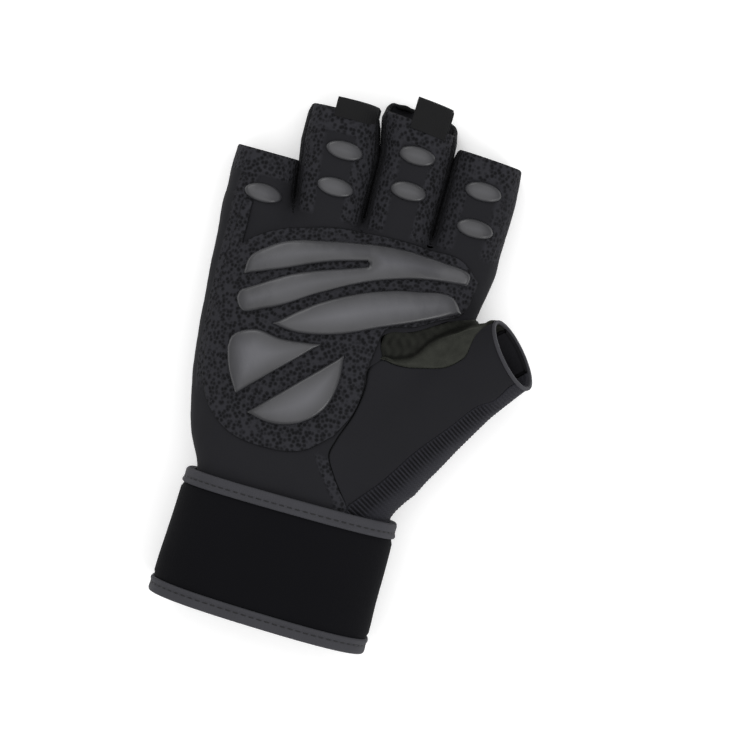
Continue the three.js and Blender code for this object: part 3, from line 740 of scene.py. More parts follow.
def thumb_piece(name, low_turn, high_turn, rows, cols, material, slot, wall=CLOTH_WALL, relief=None):
    points, outward, v, turn = thumb_sheet(low_turn, high_turn, rows, cols)
    distance = border_distance(points, False, True, True, True)
    height = seam_roll(distance)
    flat = points.reshape(-1, 3)
    height = height.ravel() + 0.12 * wave_noise(flat, 15.0, 8)
    valley = np.zeros(len(flat))
    if relief is not None:
        ribs, dark = relief(v, points, distance)
        height, valley = height + ribs.ravel(), dark.ravel()
    normals = grid_normals(points, outward).reshape(-1, 3)
    flat = flat + normals * height[:, None]
    quads = face_out(flat, grid_quads(rows, cols), outward.reshape(-1, 3))
    return add_piece(name, flat, quads, material, slot, name, wall=wall,
                     extra={"emboss": np.zeros(len(flat)), "edge": distance.ravel(), "valley": valley})


def gusset_ribs(v, points, distance):
    """Ribs across the gusset: a rounded wave of the length along the thumb's path, deepest beside the
    panel's seam and fading towards the silhouette and the mouth. Returns the height and how deep in a
    valley each place is."""
    along = np.linalg.norm(np.diff(THUMB_CENTRE, axis=0), axis=1)
    length = np.concatenate([[0], np.cumsum(along)])
    place = np.interp(v, np.linspace(0, 1, STATIONS), length)
    steps = np.linalg.norm(np.diff(points, axis=1), axis=2)
    across = np.hstack([np.zeros((len(points), 1)), np.cumsum(steps, 1)])
    to_panel = across[:, -1:] - across
    strength = (1 - 0.7 * smooth_step(0.7, 0.88, v)) * smooth_step(0.1, 0.8, distance)
    strength = strength * (0.22 + 0.78 * (1 - smooth_step(4.0, 11.0, to_panel)))
    wave = 1 - 2 * np.abs(np.sin(pi * place / RIB_PITCH)) ** 0.8
    return 0.42 * strength * wave, strength * np.clip(-wave, 0, 1)


def web_patch(material, slot):
    """The suede patch over the thumb crotch: from a tip on the palm, between the palm's and the thumb's
    edges, over the crotch and down its wall, with crumpled folds."""
    a = np.linspace(0, 1.4, 96)
    b = spread(44, 0.03)
    top = np.clip(a, 0, 1)
    wall_share = np.clip((a - 1) / 0.4, 0, 1)
    v = 0.535 + top**0.9 * 0.463
    turn = THUMB_INNER(v) + wall_share * radians(52)
    low_edge, _ = thumb_surface(v, turn)
    upper = curve_points(np.vstack([WEB_UPPER, [[48.4, 128.4]]]), 60)
    plan = np.stack([np.interp(top, np.linspace(0, 1, 60), upper[:, i]) for i in range(2)], 1)
    high_edge = drape(plan, 0.0)
    high_edge[:, 2] = high_edge[:, 2] * (1 - wall_share) + 10.0 * wall_share
    high_edge[:, 0] += wall_share * 0.6
    base = low_edge[:, None] * (1 - b[None, :, None]) + high_edge[:, None] * b[None, :, None]
    tilt = smooth_step(0.72, 1.1, a)[:, None, None]
    wall_out = unit(np.array([cos(radians(66)), sin(radians(66)), 0.15]))
    outward = unit(np.array([0.0, 0.0, 1.0]) * (1 - tilt) + wall_out * tilt) * np.ones(base.shape)
    points = settle(base.reshape(-1, 3), outward.reshape(-1, 3), 0.25, 16)
    grid = points.reshape(base.shape)
    filled = 1.6 * smooth_step(0.78, 0.98, a)[:, None] * np.sin(pi * np.clip(b, 0.0, 1.0))[None, :] ** 0.6
    grid = grid + outward * filled[..., None]
    distance = border_distance(grid, False, True, True, True)
    normals = grid_normals(grid, outward)
    folds, shade = crumple(grid.reshape(-1, 3))
    fold = folds.reshape(distance.shape) * smooth_step(0.0, 2.0, distance)
    fold = fold * (1 - smooth_step(0.72, 0.92, a))[:, None]
    points = (grid + normals * (seam_roll(distance, 0.8) + fold)[..., None]).reshape(-1, 3)
    quads = face_out(points, grid_quads(*base.shape[:2]), outward.reshape(-1, 3))
    return add_piece("thumb_web_patch", points, quads, material, slot, "thumb_web_patch", wall=1.3,
                     extra={"valley": shade})


CREASE = curve_points([[19.2, 105.5], [24.8, 107.0], [29.1, 109.4], [33.1, 114.9], [37.4, 119.4],
                       [42.4, 123.0],
                       [47.1, 126.0], [50.0, 127.0]], 60)


def crumple(points):
    """Folds of the suede: a valley along the crease, a convex band below it, a bunched upper part with
    wrinkles across it. Returns the height and how far each place lies in shade."""
    near = distance_to_line(points[:, :2], CREASE)
    above = smooth_step(-0.5, 0.9, points[:, 1] - np.interp(points[:, 0], CREASE[:, 0], CREASE[:, 1]))
    valley = -1.3 * np.exp(-((near / 0.9) ** 2))
    band = 0.7 * np.exp(-(((near - 2.6) / 1.6) ** 2)) * (1 - above)
    wrinkles = 0.4 * wave_noise(points, 4.6, 22) + 0.12 * wave_noise(points, 2.6, 24)
    height = valley + band + 0.25 * wave_noise(points, 7.0, 21) + (0.25 + 0.75 * above) * wrinkles
    shade = 0.72 * above + 0.6 * np.exp(-((near / 0.9) ** 2)) + 0.25 * above * wave_noise(points, 3.0, 26)
    return height, np.clip(shade, 0, 1)


def resample(outline, step):
    """A closed outline at near equal steps, its corners kept."""
    points = []
    for a, b in zip(outline, np.roll(outline, -1, 0)):
        count = max(1, int(round(np.linalg.norm(b - a) / step)))
        points.append(a + (b - a) * (np.arange(count) / count)[:, None])
    return np.concatenate(points)


def run_outline(runs):
    """A closed outline from runs of share points: each run a smooth curve, with corners between runs."""
    parts = []
    for run in runs:
        points = plan_line(run)
        if len(points) > 2:
            points = curve_points(points, 12 * (len(points) - 1))
        parts.append(points[:-1])
    return np.concatenate(parts)


def plan_mesh(outline, step, rings):
    """Triangles over an outline: its own points, rings of points set in by the given distances, and an even
    triangular lattice inside them. Returns plan places, triangles and distances to the edge."""
    border = resample(outline, step)
    following = np.roll(border, -1, 0)
    area = np.sum(border[:, 0] * following[:, 1] - following[:, 0] * border[:, 1])
    turn = 1.0 if area > 0 else -1.0
    run = unit(np.roll(border, -1, 0) - np.roll(border, 1, 0))
    inward = np.stack([-run[:, 1], run[:, 0]], 1) * turn
    candidates = [border + inward * ring for ring in rings]
    low, high = border.min(0), border.max(0)
    xs = np.arange(low[0], high[0], step * 1.1)
    ys = np.arange(low[1], high[1], step * 0.95)
    gx, gy = np.meshgrid(xs, ys)
    gx = gx + (np.arange(len(ys)) % 2)[:, None] * step * 0.55
    lattice = np.stack([gx.ravel(), gy.ravel()], 1)
    lattice = lattice[inside_outline(lattice, border)]
    lattice = lattice[distance_to_line(lattice, border, closed=True) > rings[-1] + 0.45 * step]
    kept = []
    for ring, points in zip(rings, candidates):
        points = points[inside_outline(points, border)]
        kept.append(points[distance_to_line(points, border, closed=True) > ring * 0.93])
    places = np.concatenate([border] + kept + [lattice])
    count = len(border)
    edges = [(i, (i + 1) % count) for i in range(count)]
    result = delaunay_2d_cdt([Vector(p) for p in places], edges, [], 1, 1e-5)
    plan = np.array([list(p) for p in result[0]])
    faces = np.array([face for face in result[2] if len(face) == 3])
    return plan, faces, distance_to_line(plan, border, closed=True)


def boundary_edges(faces):
    """Directed edges that only one triangle uses."""
    edges = np.concatenate([faces[:, [0, 1]], faces[:, [1, 2]], faces[:, [2, 0]]])
    keys = edges[:, 0].astype(np.int64) * 10**7 + edges[:, 1]
    back = edges[:, 1].astype(np.int64) * 10**7 + edges[:, 0]
    return edges[~np.isin(keys, back)]


def conforming_piece(name, outline, step, low, thick, radius, crown, material, slot, emboss=0.0, waves=0.0):
    """A closed pad that follows the glove's outside: its top rises from the edge on a quarter circle of the
    given radius and is crowned towards its middle, its underside lies at a level height."""
    rings = radius * np.array([0.12, 0.35, 0.7, 1.1]) + 0.02
    plan, faces, distance = plan_mesh(outline, step, rings)
    s = np.clip(1 - distance / radius, 0, 1)
    rise = np.sqrt(np.maximum(1 - s * s, 0)) * (thick - 0.25) + 0.25 + crown * (1 - np.exp(-distance / 4.0))
    spots = np.column_stack([plan, np.zeros(len(plan))])
    rise = rise + waves * wave_noise(spots, 9.0, 31) * smooth_step(0.3, 2.0, distance)
    top = drape(plan, low + rise)
    bottom = drape(plan, np.full(len(plan), low))
    a, b, c = (plan[faces[:, i]] for i in range(3))
    area = (b[:, 0] - a[:, 0]) * (c[:, 1] - a[:, 1]) - (b[:, 1] - a[:, 1]) * (c[:, 0] - a[:, 0])
    faces = np.where(area[:, None] > 0, faces, faces[:, ::-1])
    rim = boundary_edges(faces)
    count = len(plan)
    sides = np.concatenate(
        [np.stack([rim[:, 1], rim[:, 0], rim[:, 0] + count], 1),
         np.stack([rim[:, 1], rim[:, 0] + count, rim[:, 1] + count], 1)]
    )
    all_faces = np.concatenate([faces, faces[:, ::-1] + count, sides])
    points = np.concatenate([top, bottom])
    extra = {"emboss": np.full(len(points), emboss), "edge": np.concatenate([distance, distance])}
    return add_piece(name, points, all_faces, material, slot, name, extra=extra)


# The wrap's width at its upper edge, how much wider it is at its lower edge, how much lower that edge lies on
# the thumb side, and the heights of its base and top
WRAP_WIDTH = 80.0
WRAP_FLARE = 2.6
WRAP_SKEW = 2.0
WRAP_BASE = 1.4
WRAP_TOP = 41.5


def wrap_section(y, inset):
    """The wrap's section at y, set in from its outside: left, right, base and top in mm."""
    flare = WRAP_FLARE * (1 - y / WRAP_HEIGHT)
    half = (WRAP_WIDTH + flare) / 2
    shift = flare / 4
    return -half - shift + inset, half - shift - inset, WRAP_BASE + inset, WRAP_TOP - inset


def wrap_surface(y, inset, turn):
    """Points round the wrap at given y, inset and turn; its lower edge falls towards the thumb side."""
    left, right, base, top = wrap_section(y, inset)
    x, z, nx, nz = section_at(turn, left, right, base, top)
    skew = WRAP_SKEW * x * np.maximum(0, 1 - y / WRAP_HEIGHT) / WRAP_WIDTH
    points = np.stack(np.broadcast_arrays(x, y - skew, z), -1)
    return points, unit(np.stack(np.broadcast_arrays(nx, 0 * nx, nz), -1))


def wrap_ring(name, profile, material, slot, turns=240, noise=0.0, tags=None):
    """A band round the wrist: a closed profile of y and inset carried round the wrap's section."""
    turn = np.linspace(0, 2 * pi, turns, endpoint=False)[None, :]
    y = profile[:, 0][:, None]
    inset = profile[:, 1][:, None]
    points, outward = wrap_surface(y, inset, turn)
    flat = points.reshape(-1, 3)
    if noise:
        flat = flat + outward.reshape(-1, 3) * (noise * wave_noise(flat, 24.0, 5))[:, None]
    quads = grid_quads(len(profile), turns, True, True)
    middle_y, middle_inset = profile[:, 0].mean(), profile[:, 1].mean()
    away = outward * -(inset - middle_inset)[..., None] + np.array([0, 1.0, 0]) * (y - middle_y)[..., None]
    a, b, c = (flat[quads[:, i]] for i in range(3))
    score = np.sum(np.cross(b - a, c - a) * away.reshape(-1, 3)[quads[:, 0]])
    quads = quads if score > 0 else quads[:, ::-1]
    u = np.tile(np.linspace(0, 240, turns)[None, :], (len(profile), 1)).ravel()
    w = np.repeat(np.arange(len(profile)), turns).astype(float)
    return add_piece(name, flat, quads, material, slot, name, uv=np.stack([u, w], 1),
                     extra=tags(flat) if tags else None)


def rounded_loop(corners, radius, per_corner=5):
    """A closed profile with its corners rounded: each corner becomes an arc of a quadratic curve."""
    corners = np.asarray(corners, float)
    points = []
    for before, here, after in zip(np.roll(corners, 1, 0), corners, np.roll(corners, -1, 0)):
        a = here + (before - here) * min(radius / np.linalg.norm(before - here), 0.5)
        b = here + (after - here) * min(radius / np.linalg.norm(after - here), 0.5)
        t = np.linspace(0, 1, per_corner)[:, None]
        points.append(a * (1 - t) ** 2 + here * 2 * t * (1 - t) + b * t**2)
    return np.concatenate(points)


def subdivide(profile, step):
    """A closed profile with long stretches split."""
    points = []
    for a, b in zip(profile, np.roll(profile, -1, 0)):
        count = max(1, int(np.ceil(np.linalg.norm(b - a) / step)))
        points.append(a + (b - a) * (np.arange(count) / count)[:, None])
    return np.concatenate(points)


def pull_tab(name, finger, across, width, reach, material, slot):
    """A tape folded over the stall's edge: its path runs up outside the cloth, turns over in an open loop
    past the mouth, and runs back down inside. Heights are over the stall's own section at its mouth."""
    mouth = CROTCH_Y + finger["length"]
    left, right, top = finger_section(finger, np.array([mouth]))
    path = np.array([[-3.2, 0.55], [-1.6, 0.62], [0.0, 0.7], [0.5 * reach, 0.85], [reach - 1.6, 0.75],
                     [reach - 0.5, 0.3],
                     [reach - 0.15, -0.55], [reach - 0.5, -1.4], [reach - 1.6, -1.95], [0.5 * reach, -2.1],
                     [0.0, -2.3],
                     [-3.0, -2.5]])
    path = curve_points(path, 60)
    t = spread(22, 0.05)
    x = (across * PALM_WIDTH + (t - 0.5) * width)[None, :]
    middle, half = (left + right) / 2, (right - left) / 2
    equator = 0.45 * top
    z = equator + (top - equator) * (1 - np.abs((x - middle) / half) ** 2.5) ** 0.4
    skew = finger["skew"] * finger["length"] * (middle - x) / half
    lean = 0.02 * path[:, :1] * (1 if name.endswith("middle") else -1)
    points = np.stack(np.broadcast_arrays(x + lean, mouth + path[:, :1] + skew, z + path[:, 1:]), -1)
    centre = points.mean((0, 1))
    outward = points - centre
    outward[..., 0] = 0
    flat = points.reshape(-1, 3)
    quads = face_out(flat, grid_quads(*points.shape[:2]), outward.reshape(-1, 3))
    piece = add_piece(name, flat, quads, material, slot, name, wall=0.9, uv=np.stack(np.broadcast_arrays(
        path[:, :1] * 0 + np.linspace(0, width, 22)[None, :], np.linspace(0, 30, 60)[:, None]),
        -1).reshape(-1, 2))
    return piece


def thumb_binding(material, slot):
    """A narrow tape over the thumb stall's rim: a rounded profile carried round the mouth's oval."""
    centre, half, side, up, ahead = (table[0] for table in thumb_frame(np.array([1.0])))
    profile = rounded_loop([[0.35, -0.6], [0.35, 0.7], [-0.95, 0.7], [-0.95, -0.6]], 0.45)
    turn = np.linspace(0, 2 * pi, 120, endpoint=False)[None, :, None]
    radial = np.cos(turn) * side + np.sin(turn) * up
    reach = half[0] + profile[:, 0][:, None, None]
    points = centre + radial * reach + ahead * profile[:, 1][:, None, None]
    flat = points.reshape(-1, 3)
    from_middle = (profile + [0.3, -0.05])[:, :, None, None]
    away = (radial * from_middle[:, 0] + ahead * from_middle[:, 1]).reshape(-1, 3)
    quads = face_out(flat, grid_quads(len(profile), 120, True, True), away)
    weave = np.broadcast_arrays(np.linspace(0, 80, 120)[None, :], np.arange(len(profile))[:, None] * 1.0)
    return add_piece("thumb_binding", flat, quads, material, slot, "thumb_binding",
                     uv=np.stack(weave, -1).reshape(-1, 2))


def closing_flap(material, slot):
    """The wrap's closing end: a flat rounded block under the wrist, its edge a half circle."""
    profile = [[0.0, 0.1], [0.6, 0.1], [0.9, 0.1], [0.97, 0.2], [1.0, 0.55], [0.97, 0.9], [0.9, 1.05],
               [0.6, 1.08], [0.0, 1.08]]
    profile = np.array(profile)
    turn = np.linspace(0, 2 * pi, 96, endpoint=False)[None, :]
    share = profile[:, 0][:, None]
    power = 0.22
    x = 20.8 * share * np.sign(np.cos(turn)) * np.abs(np.cos(turn)) ** power
    y = 25.0 + 16.8 * share * np.sign(np.sin(turn)) * np.abs(np.sin(turn)) ** power
    points = np.stack(np.broadcast_arrays(x - 0.6, y, profile[:, 1][:, None]), -1)
    flat = points.reshape(-1, 3)
    away = flat - np.array([-0.6, 25.0, 0.57])
    quads = face_out(flat, grid_quads(len(profile), 96, False, True), away * np.array([0.01, 0.01, 1.0]))
    return add_piece("wrap_closing_flap", flat, quads, material, slot, "wrap_closing_flap")


def stitch_row(points, normals, length=2.0, pitch=2.9, width=0.5, lift=0.1):
    """Stitches along a path: each a capsule with rounded ends, half sunk into the cloth. Returns points and
    faces."""
    steps = np.linalg.norm(np.diff(points, axis=0), axis=1)
    along = np.concatenate([[0], np.cumsum(steps)])
    count = max(1, int(along[-1] / pitch))
    centres = (np.arange(count) + 0.5) * along[-1] / count
    at = lambda where, table: np.stack([np.interp(where, along, table[:, i]) for i in range(3)], 1)
    start, end = at(centres - length / 2, points), at(centres + length / 2, points)
    middle = at(centres, points)
    run = unit(end - start)
    up = at(centres, normals)
    up = unit(up - run * np.sum(up * run, 1, keepdims=True))
    side = np.cross(run, up)
    stations = np.array([[-0.5, 0.05], [-0.42, 0.75], [-0.2, 1.0], [0.2, 1.0], [0.42, 0.75], [0.5, 0.05]])
    turn = np.arange(6) * pi / 3
    turn = turn[None, None, :, None]
    ring = np.cos(turn) * side[:, None, None] + np.sin(turn) * up[:, None, None] * 0.7
    centre = middle + up * lift
    body = centre[:, None, None] + run[:, None, None] * (stations[:, 0] * length)[None, :, None, None]
    mesh = body + ring * (stations[:, 1] * width / 2)[None, :, None, None]
    quads = grid_quads(6, 6, False, True)
    faces = (quads[None] + (np.arange(count) * 36)[:, None, None]).reshape(-1, 4)
    return mesh.reshape(-1, 3), faces[:, ::-1]


def join_rows(rows):
    points = np.concatenate([row[0] for row in rows])
    starts = np.cumsum([0] + [len(row[0]) for row in rows[:-1]])
    return points, np.concatenate([row[1] + start for row, start in zip(rows, starts)])


def linear(code):
    """An sRGB hex colour as linear red, green, blue and alpha."""
    parts = [int(code[i : i + 2], 16) / 255 for i in (1, 3, 5)]
    return tuple(p / 12.92 if p <= 0.04045 else ((p + 0.055) / 1.055) ** 2.4 for p in parts) + (1.0,)


def add_node(tree, kind, settings=None, inputs=None):
    """Add one node. Settings are the node's own values, inputs are values of its sockets or sockets to
    link."""
    node = tree.nodes.new(kind)
    for key, value in (settings or {}).items():
        setattr(node, key, value)
    for key, value in (inputs or {}).items():
        if isinstance(value, bpy.types.NodeSocket):
            tree.links.new(value, node.inputs[key])
        else:
            node.inputs[key].default_value = value
    return node


def new_material(name, roughness, sheen=0.0, sheen_tint="#ffffff", specular=0.5):
    """An empty material with a Principled shader, whose even values stand on its own sockets."""
    material = bpy.data.materials.new(name)
    material.use_nodes = True
    tree = material.node_tree
    shader = tree.nodes["Principled BSDF"]
    shader.inputs["Roughness"].default_value = roughness
    shader.inputs["Sheen Weight"].default_value = sheen
    shader.inputs["Sheen Roughness"].default_value = 0.45
    shader.inputs["Sheen Tint"].default_value = linear(sheen_tint)
    shader.inputs["Specular IOR Level"].default_value = specular
    place = add_node(tree, "ShaderNodeTexCoord").outputs["Object"]
    return material, tree, shader, place


def mix_colours(tree, share, low, high):
    node = add_node(tree, "ShaderNodeMix", {"data_type": "RGBA"}, {0: share, 6: low, 7: high})
    return node.outputs[2]


def sums(tree, operation, a, b):
    return add_node(tree, "ShaderNodeMath", {"operation": operation}, {0: a, 1: b}).outputs[0]


def bumped(tree, shader, height, distance, strength=1.0):
    bump = add_node(tree, "ShaderNodeBump", None,
                    {"Height": height, "Distance": distance, "Strength": strength})
    tree.links.new(bump.outputs["Normal"], shader.inputs["Normal"])


def microfibre(name, colour, pit_pitch=1.0):
    """Brushed synthetic microfibre: matte, with a faint nap. Where the piece's emboss value is set it is
    pressed with small irregular pits, with painted shade inside them and painted highlights on the crowns
    between them."""
    material, tree, shader, place = new_material(name, 0.88, 0.01, "#8a8a92", 0.13)
    # Nap grains of 0.35 mm are finer than the render shows, so they are drawn at 0.8 mm
    nap = add_node(tree, "ShaderNodeTexNoise", None, {"Vector": place, "Scale": 1000 / 0.8, "Detail": 3.0})
    cloud = add_node(tree, "ShaderNodeTexNoise", None, {"Vector": place, "Scale": 1000 / 26.0, "Detail": 2.0})
    cells = add_node(tree, "ShaderNodeTexVoronoi", {"feature": "SMOOTH_F1"},
                     {"Vector": place, "Scale": 1000 / pit_pitch, "Smoothness": 0.2, "Randomness": 0.9})
    pits = add_node(tree, "ShaderNodeMapRange", {"interpolation_type": "SMOOTHSTEP"},
                    {"Value": cells.outputs["Distance"], "From Min": 0.12, "From Max": 0.7})
    emboss = add_node(tree, "ShaderNodeAttribute", {"attribute_name": "emboss"}).outputs["Fac"]
    base = linear(colour)
    shade = lambda k: tuple(c * k for c in base[:3]) + (1.0,)
    plain = mix_colours(tree, cloud.outputs["Fac"], shade(0.82), shade(1.18))
    plain = mix_colours(tree, sums(tree, "MULTIPLY", nap.outputs["Fac"], 0.5), plain, shade(1.1))
    # Painted shade inside the embossed pits and painted highlights on the crowns between them, following the
    # bump's relief
    pressed = mix_colours(tree, pits.outputs["Result"], shade(0.35), shade(1.9))
    shown = mix_colours(tree, emboss, plain, pressed)
    # Painted shade: the colour darkens over the last half millimetre before a piece's edge, where the cloth
    # turns in at a seam
    edge = add_node(tree, "ShaderNodeAttribute", {"attribute_name": "edge"}).outputs["Fac"]
    rim = add_node(tree, "ShaderNodeMapRange", {"interpolation_type": "SMOOTHSTEP"},
                   {"Value": edge, "From Min": 0.05, "From Max": 0.5})
    tree.links.new(mix_colours(tree, rim.outputs["Result"], shade(0.45), shown), shader.inputs["Base Color"])
    relief = sums(tree, "MULTIPLY", sums(tree, "MULTIPLY", pits.outputs["Result"], emboss), 1.0)
    height = sums(tree, "ADD", relief, sums(tree, "MULTIPLY", nap.outputs["Fac"], 0.12))
    bumped(tree, shader, height, 0.0005)
    return material


def moulded_rubber(name, colour):
    """Soft moulded silicone rubber: satin, with broad painted highlights towards its middles and painted
    shade towards its edges, faint clouding and a fine skin grain."""
    material, tree, shader, place = new_material(name, 0.36, 0.0, "#ffffff", 0.5)
    cloud = add_node(tree, "ShaderNodeTexNoise", None, {"Vector": place, "Scale": 1000 / 18.0, "Detail": 3.0})
    grain = add_node(tree, "ShaderNodeTexNoise", None, {"Vector": place, "Scale": 1000 / 0.9, "Detail": 2.0})
    base = linear(colour)
    shade = lambda k: tuple(c * k for c in base[:3]) + (1.0,)
    tone = mix_colours(tree, cloud.outputs["Fac"], shade(0.85), shade(1.15))
    edge = add_node(tree, "ShaderNodeAttribute", {"attribute_name": "edge"}).outputs["Fac"]
    rim = add_node(tree, "ShaderNodeMapRange", {"interpolation_type": "SMOOTHSTEP"},
                   {"Value": edge, "From Min": 0.0, "From Max": 0.3})
    # Painted highlight and painted shade: darkest at the edge and lightest 8 mm in, so each pad's middle
    # looks lit and its edge shaded; the cloud mixes this in at 55 to 100 per cent
    slope = add_node(tree, "ShaderNodeMapRange", {"interpolation_type": "SMOOTHSTEP"},
                     {"Value": edge, "From Min": 0.0, "From Max": 8.0})
    painted_highlight_and_shade = mix_colours(tree, slope.outputs["Result"], shade(0.34), shade(1.55))
    patchy = add_node(tree, "ShaderNodeMapRange", None, {"Value": cloud.outputs["Fac"], "From Min": 0.35,
                                                         "From Max": 0.65, "To Min": 0.55, "To Max": 1.0})
    tone = mix_colours(tree, patchy.outputs["Result"], tone, painted_highlight_and_shade)
    # Painted shade along the last 0.3 mm of each pad's and grip's rounded edge
    tree.links.new(mix_colours(tree, rim.outputs["Result"], shade(0.3), tone), shader.inputs["Base Color"])
    bumped(tree, shader, grain.outputs["Fac"], 0.00006, 0.6)
    return material


def rib_knit(name, colour):
    """Knitted elastic rib: matte, with fine yarn loops in rows across the ribs that the mesh carries."""
    material, tree, shader, place = new_material(name, 0.92, 0.05, "#9a9aa2", 0.15)
    loops = add_node(tree, "ShaderNodeTexVoronoi", None,
                     {"Vector": place, "Scale": 1000 / 0.75, "Randomness": 0.35})
    cloud = add_node(tree, "ShaderNodeTexNoise", None, {"Vector": place, "Scale": 1000 / 12.0})
    base = linear(colour)
    shade = lambda k: tuple(c * k for c in base[:3]) + (1.0,)
    tone = mix_colours(tree, loops.outputs["Distance"], shade(1.25), shade(0.6))
    tone = mix_colours(tree, sums(tree, "MULTIPLY", cloud.outputs["Fac"], 0.4), tone, shade(1.3))
    valley = add_node(tree, "ShaderNodeAttribute", {"attribute_name": "valley"}).outputs["Fac"]
    # Painted shade: the colour darkens to near black in the gusset's rib valleys, by the piece's valley value
    tree.links.new(mix_colours(tree, valley, tone, shade(0.15)), shader.inputs["Base Color"])
    bumped(tree, shader, loops.outputs["Distance"], 0.00025, 0.8)
    return material


def synthetic_suede(name, colour):
    """Synthetic suede: a short dense nap in olive grey, mottled where it is brushed both ways, with painted
    shade in its folds."""
    material, tree, shader, place = new_material(name, 0.95, 0.1, "#b4b8a8", 0.1)
    mottle = add_node(tree, "ShaderNodeTexNoise", None, {"Vector": place, "Scale": 1000 / 4.0, "Detail": 5.0})
    nap = add_node(tree, "ShaderNodeTexNoise", None, {"Vector": place, "Scale": 1000 / 0.7, "Detail": 2.0})
    base = linear(colour)
    shade = lambda k: tuple(c * k for c in base[:3]) + (1.0,)
    tone = mix_colours(tree, mottle.outputs["Fac"], shade(0.6), shade(1.7))
    valley = add_node(tree, "ShaderNodeAttribute", {"attribute_name": "valley"}).outputs["Fac"]
    # Painted shade in the folds and over the bunched upper part, by the piece's valley value
    tree.links.new(mix_colours(tree, valley, tone, shade(0.22)), shader.inputs["Base Color"])
    height = sums(tree, "ADD", mottle.outputs["Fac"], sums(tree, "MULTIPLY", nap.outputs["Fac"], 0.35))
    bumped(tree, shader, height, 0.0006, 0.8)
    return material


def knit_faced_neoprene(name, colour):
    """Knit-faced neoprene: deep black, very matte, with a barely visible fine knit."""
    material, tree, shader, place = new_material(name, 0.93, 0.0, "#7a7a88", 0.1)
    knit = add_node(tree, "ShaderNodeTexVoronoi", None,
                    {"Vector": place, "Scale": 1000 / 0.9, "Randomness": 0.4})
    cloud = add_node(tree, "ShaderNodeTexNoise", None, {"Vector": place, "Scale": 1000 / 45.0})
    base = linear(colour)
    shade = lambda k: tuple(c * k for c in base[:3]) + (1.0,)
    tone = mix_colours(tree, cloud.outputs["Fac"], shade(0.8), shade(1.3))
    tree.links.new(tone, shader.inputs["Base Color"])
    bumped(tree, shader, knit.outputs["Distance"], 0.0001, 0.5)
    return material


def woven_tape(name, colour, contrast=0.25):
    """Woven polyamide tape: fine cross ribs of 0.8 mm along its length, read from the piece's own map."""
    material, tree, shader, place = new_material(name, 0.8, 0.03, "#a0a0a8", 0.2)
    weave = add_node(tree, "ShaderNodeTexCoord").outputs["UV"]
    parts = add_node(tree, "ShaderNodeSeparateXYZ", None, {"Vector": weave})
    wave = sums(tree, "SINE", sums(tree, "MULTIPLY", parts.outputs["X"], 2 * pi / 0.8), 0.0)
    cloud = add_node(tree, "ShaderNodeTexNoise", None, {"Vector": place, "Scale": 1000 / 9.0, "Detail": 3.0})
    base = linear(colour)
    shade = lambda k: tuple(c * k for c in base[:3]) + (1.0,)
    tone = mix_colours(tree, cloud.outputs["Fac"], shade(1 - contrast), shade(1 + contrast))
    tree.links.new(tone, shader.inputs["Base Color"])
    bumped(tree, shader, wave, 0.00005, 0.6)
    return material


def sewing_thread(name, colour):
    """Bonded polyester thread: a slightly shiny twisted yarn."""
    material, tree, shader, place = new_material(name, 0.6, 0.0, "#ffffff", 0.4)
    twist = add_node(tree, "ShaderNodeTexNoise", None, {"Vector": place, "Scale": 1000 / 0.6})
    base = linear(colour)
    tone = mix_colours(tree, twist.outputs["Fac"], tuple(c * 0.7 for c in base[:3]) + (1.0,), base)
    tree.links.new(tone, shader.inputs["Base Color"])
    return material


def studio_paper(name, colour):
    """Matte pale paper."""
    material, tree, shader, place = new_material(name, 0.9, 0.0, "#ffffff", 0.1)
    shader.inputs["Base Color"].default_value = linear(colour)
    shader.inputs["Emission Color"].default_value = linear(colour)
    shader.inputs["Emission Strength"].default_value = 0.22
    return material


PAD_RUNS = {
    "pad_knuckle": [
        [(-0.373, 0.72), (-0.369, 0.783), (-0.304, 0.848), (-0.097, 0.92), (0.096, 0.954), (0.292, 0.953),
            (0.405, 0.923), (0.402, 0.89)],
        [(0.402, 0.89), (0.265, 0.874), (0.073, 0.814), (-0.092, 0.725), (-0.26, 0.622), (-0.345, 0.595),
            (-0.373, 0.64), (-0.367, 0.666)],
        [(-0.367, 0.666), (-0.192, 0.775), (-0.014, 0.842), (0.044, 0.864)],
        [(0.044, 0.864), (0.046, 0.874)],
        [(0.046, 0.874), (0.037, 0.88)],
        [(0.037, 0.88), (-0.077, 0.846), (-0.252, 0.769), (-0.373, 0.72)],
    ],
    "pad_crescent": [
        [(-0.228, 0.577), (-0.095, 0.689), (0.065, 0.775), (0.235, 0.826), (0.371, 0.836), (0.408, 0.79)],
        [(0.408, 0.79), (0.292, 0.73), (0.145, 0.664), (-0.008, 0.595), (-0.166, 0.568), (-0.228, 0.577)],
    ],
    "pad_heel_outer": [
        [(-0.357, 0.455), (-0.354, 0.493), (-0.279, 0.544), (-0.188, 0.537), (-0.036, 0.554)],
        [(-0.036, 0.554), (-0.284, 0.302)],
        [(-0.284, 0.302), (-0.334, 0.388), (-0.357, 0.455)],
    ],
    "pad_heel_inner": [
        [(0.05, 0.542), (-0.231, 0.251)],
        [(-0.231, 0.251), (-0.142, 0.235), (-0.05, 0.257), (0.029, 0.328), (0.058, 0.432), (0.05, 0.542)],
    ],
}
OVERLAY_RUNS = [
    [(-0.41, 0.985), (-0.445, 0.985)],
    [(-0.445, 0.985), (-0.452, 0.8), (-0.447, 0.52), (-0.42, 0.33)],
    [(-0.42, 0.33), (-0.37, 0.24), (-0.284, 0.172), (-0.149, 0.148), (-0.002, 0.173), (0.087, 0.249)],
    [(0.087, 0.249), (0.133, 0.345), (0.145, 0.435), (0.14, 0.489)],
    [(0.14, 0.489), (0.15, 0.59), (0.165, 0.66), (0.263, 0.7), (0.33, 0.74), (0.41, 0.788), (0.44, 0.915)],
    [(0.44, 0.915), (0.36, 0.975), (0.24, 0.985), (0.078, 0.985), (-0.078, 0.973), (-0.265, 0.925)],
    [(-0.265, 0.925), (-0.34, 0.885), (-0.392, 0.845), (-0.41, 0.825)],
]


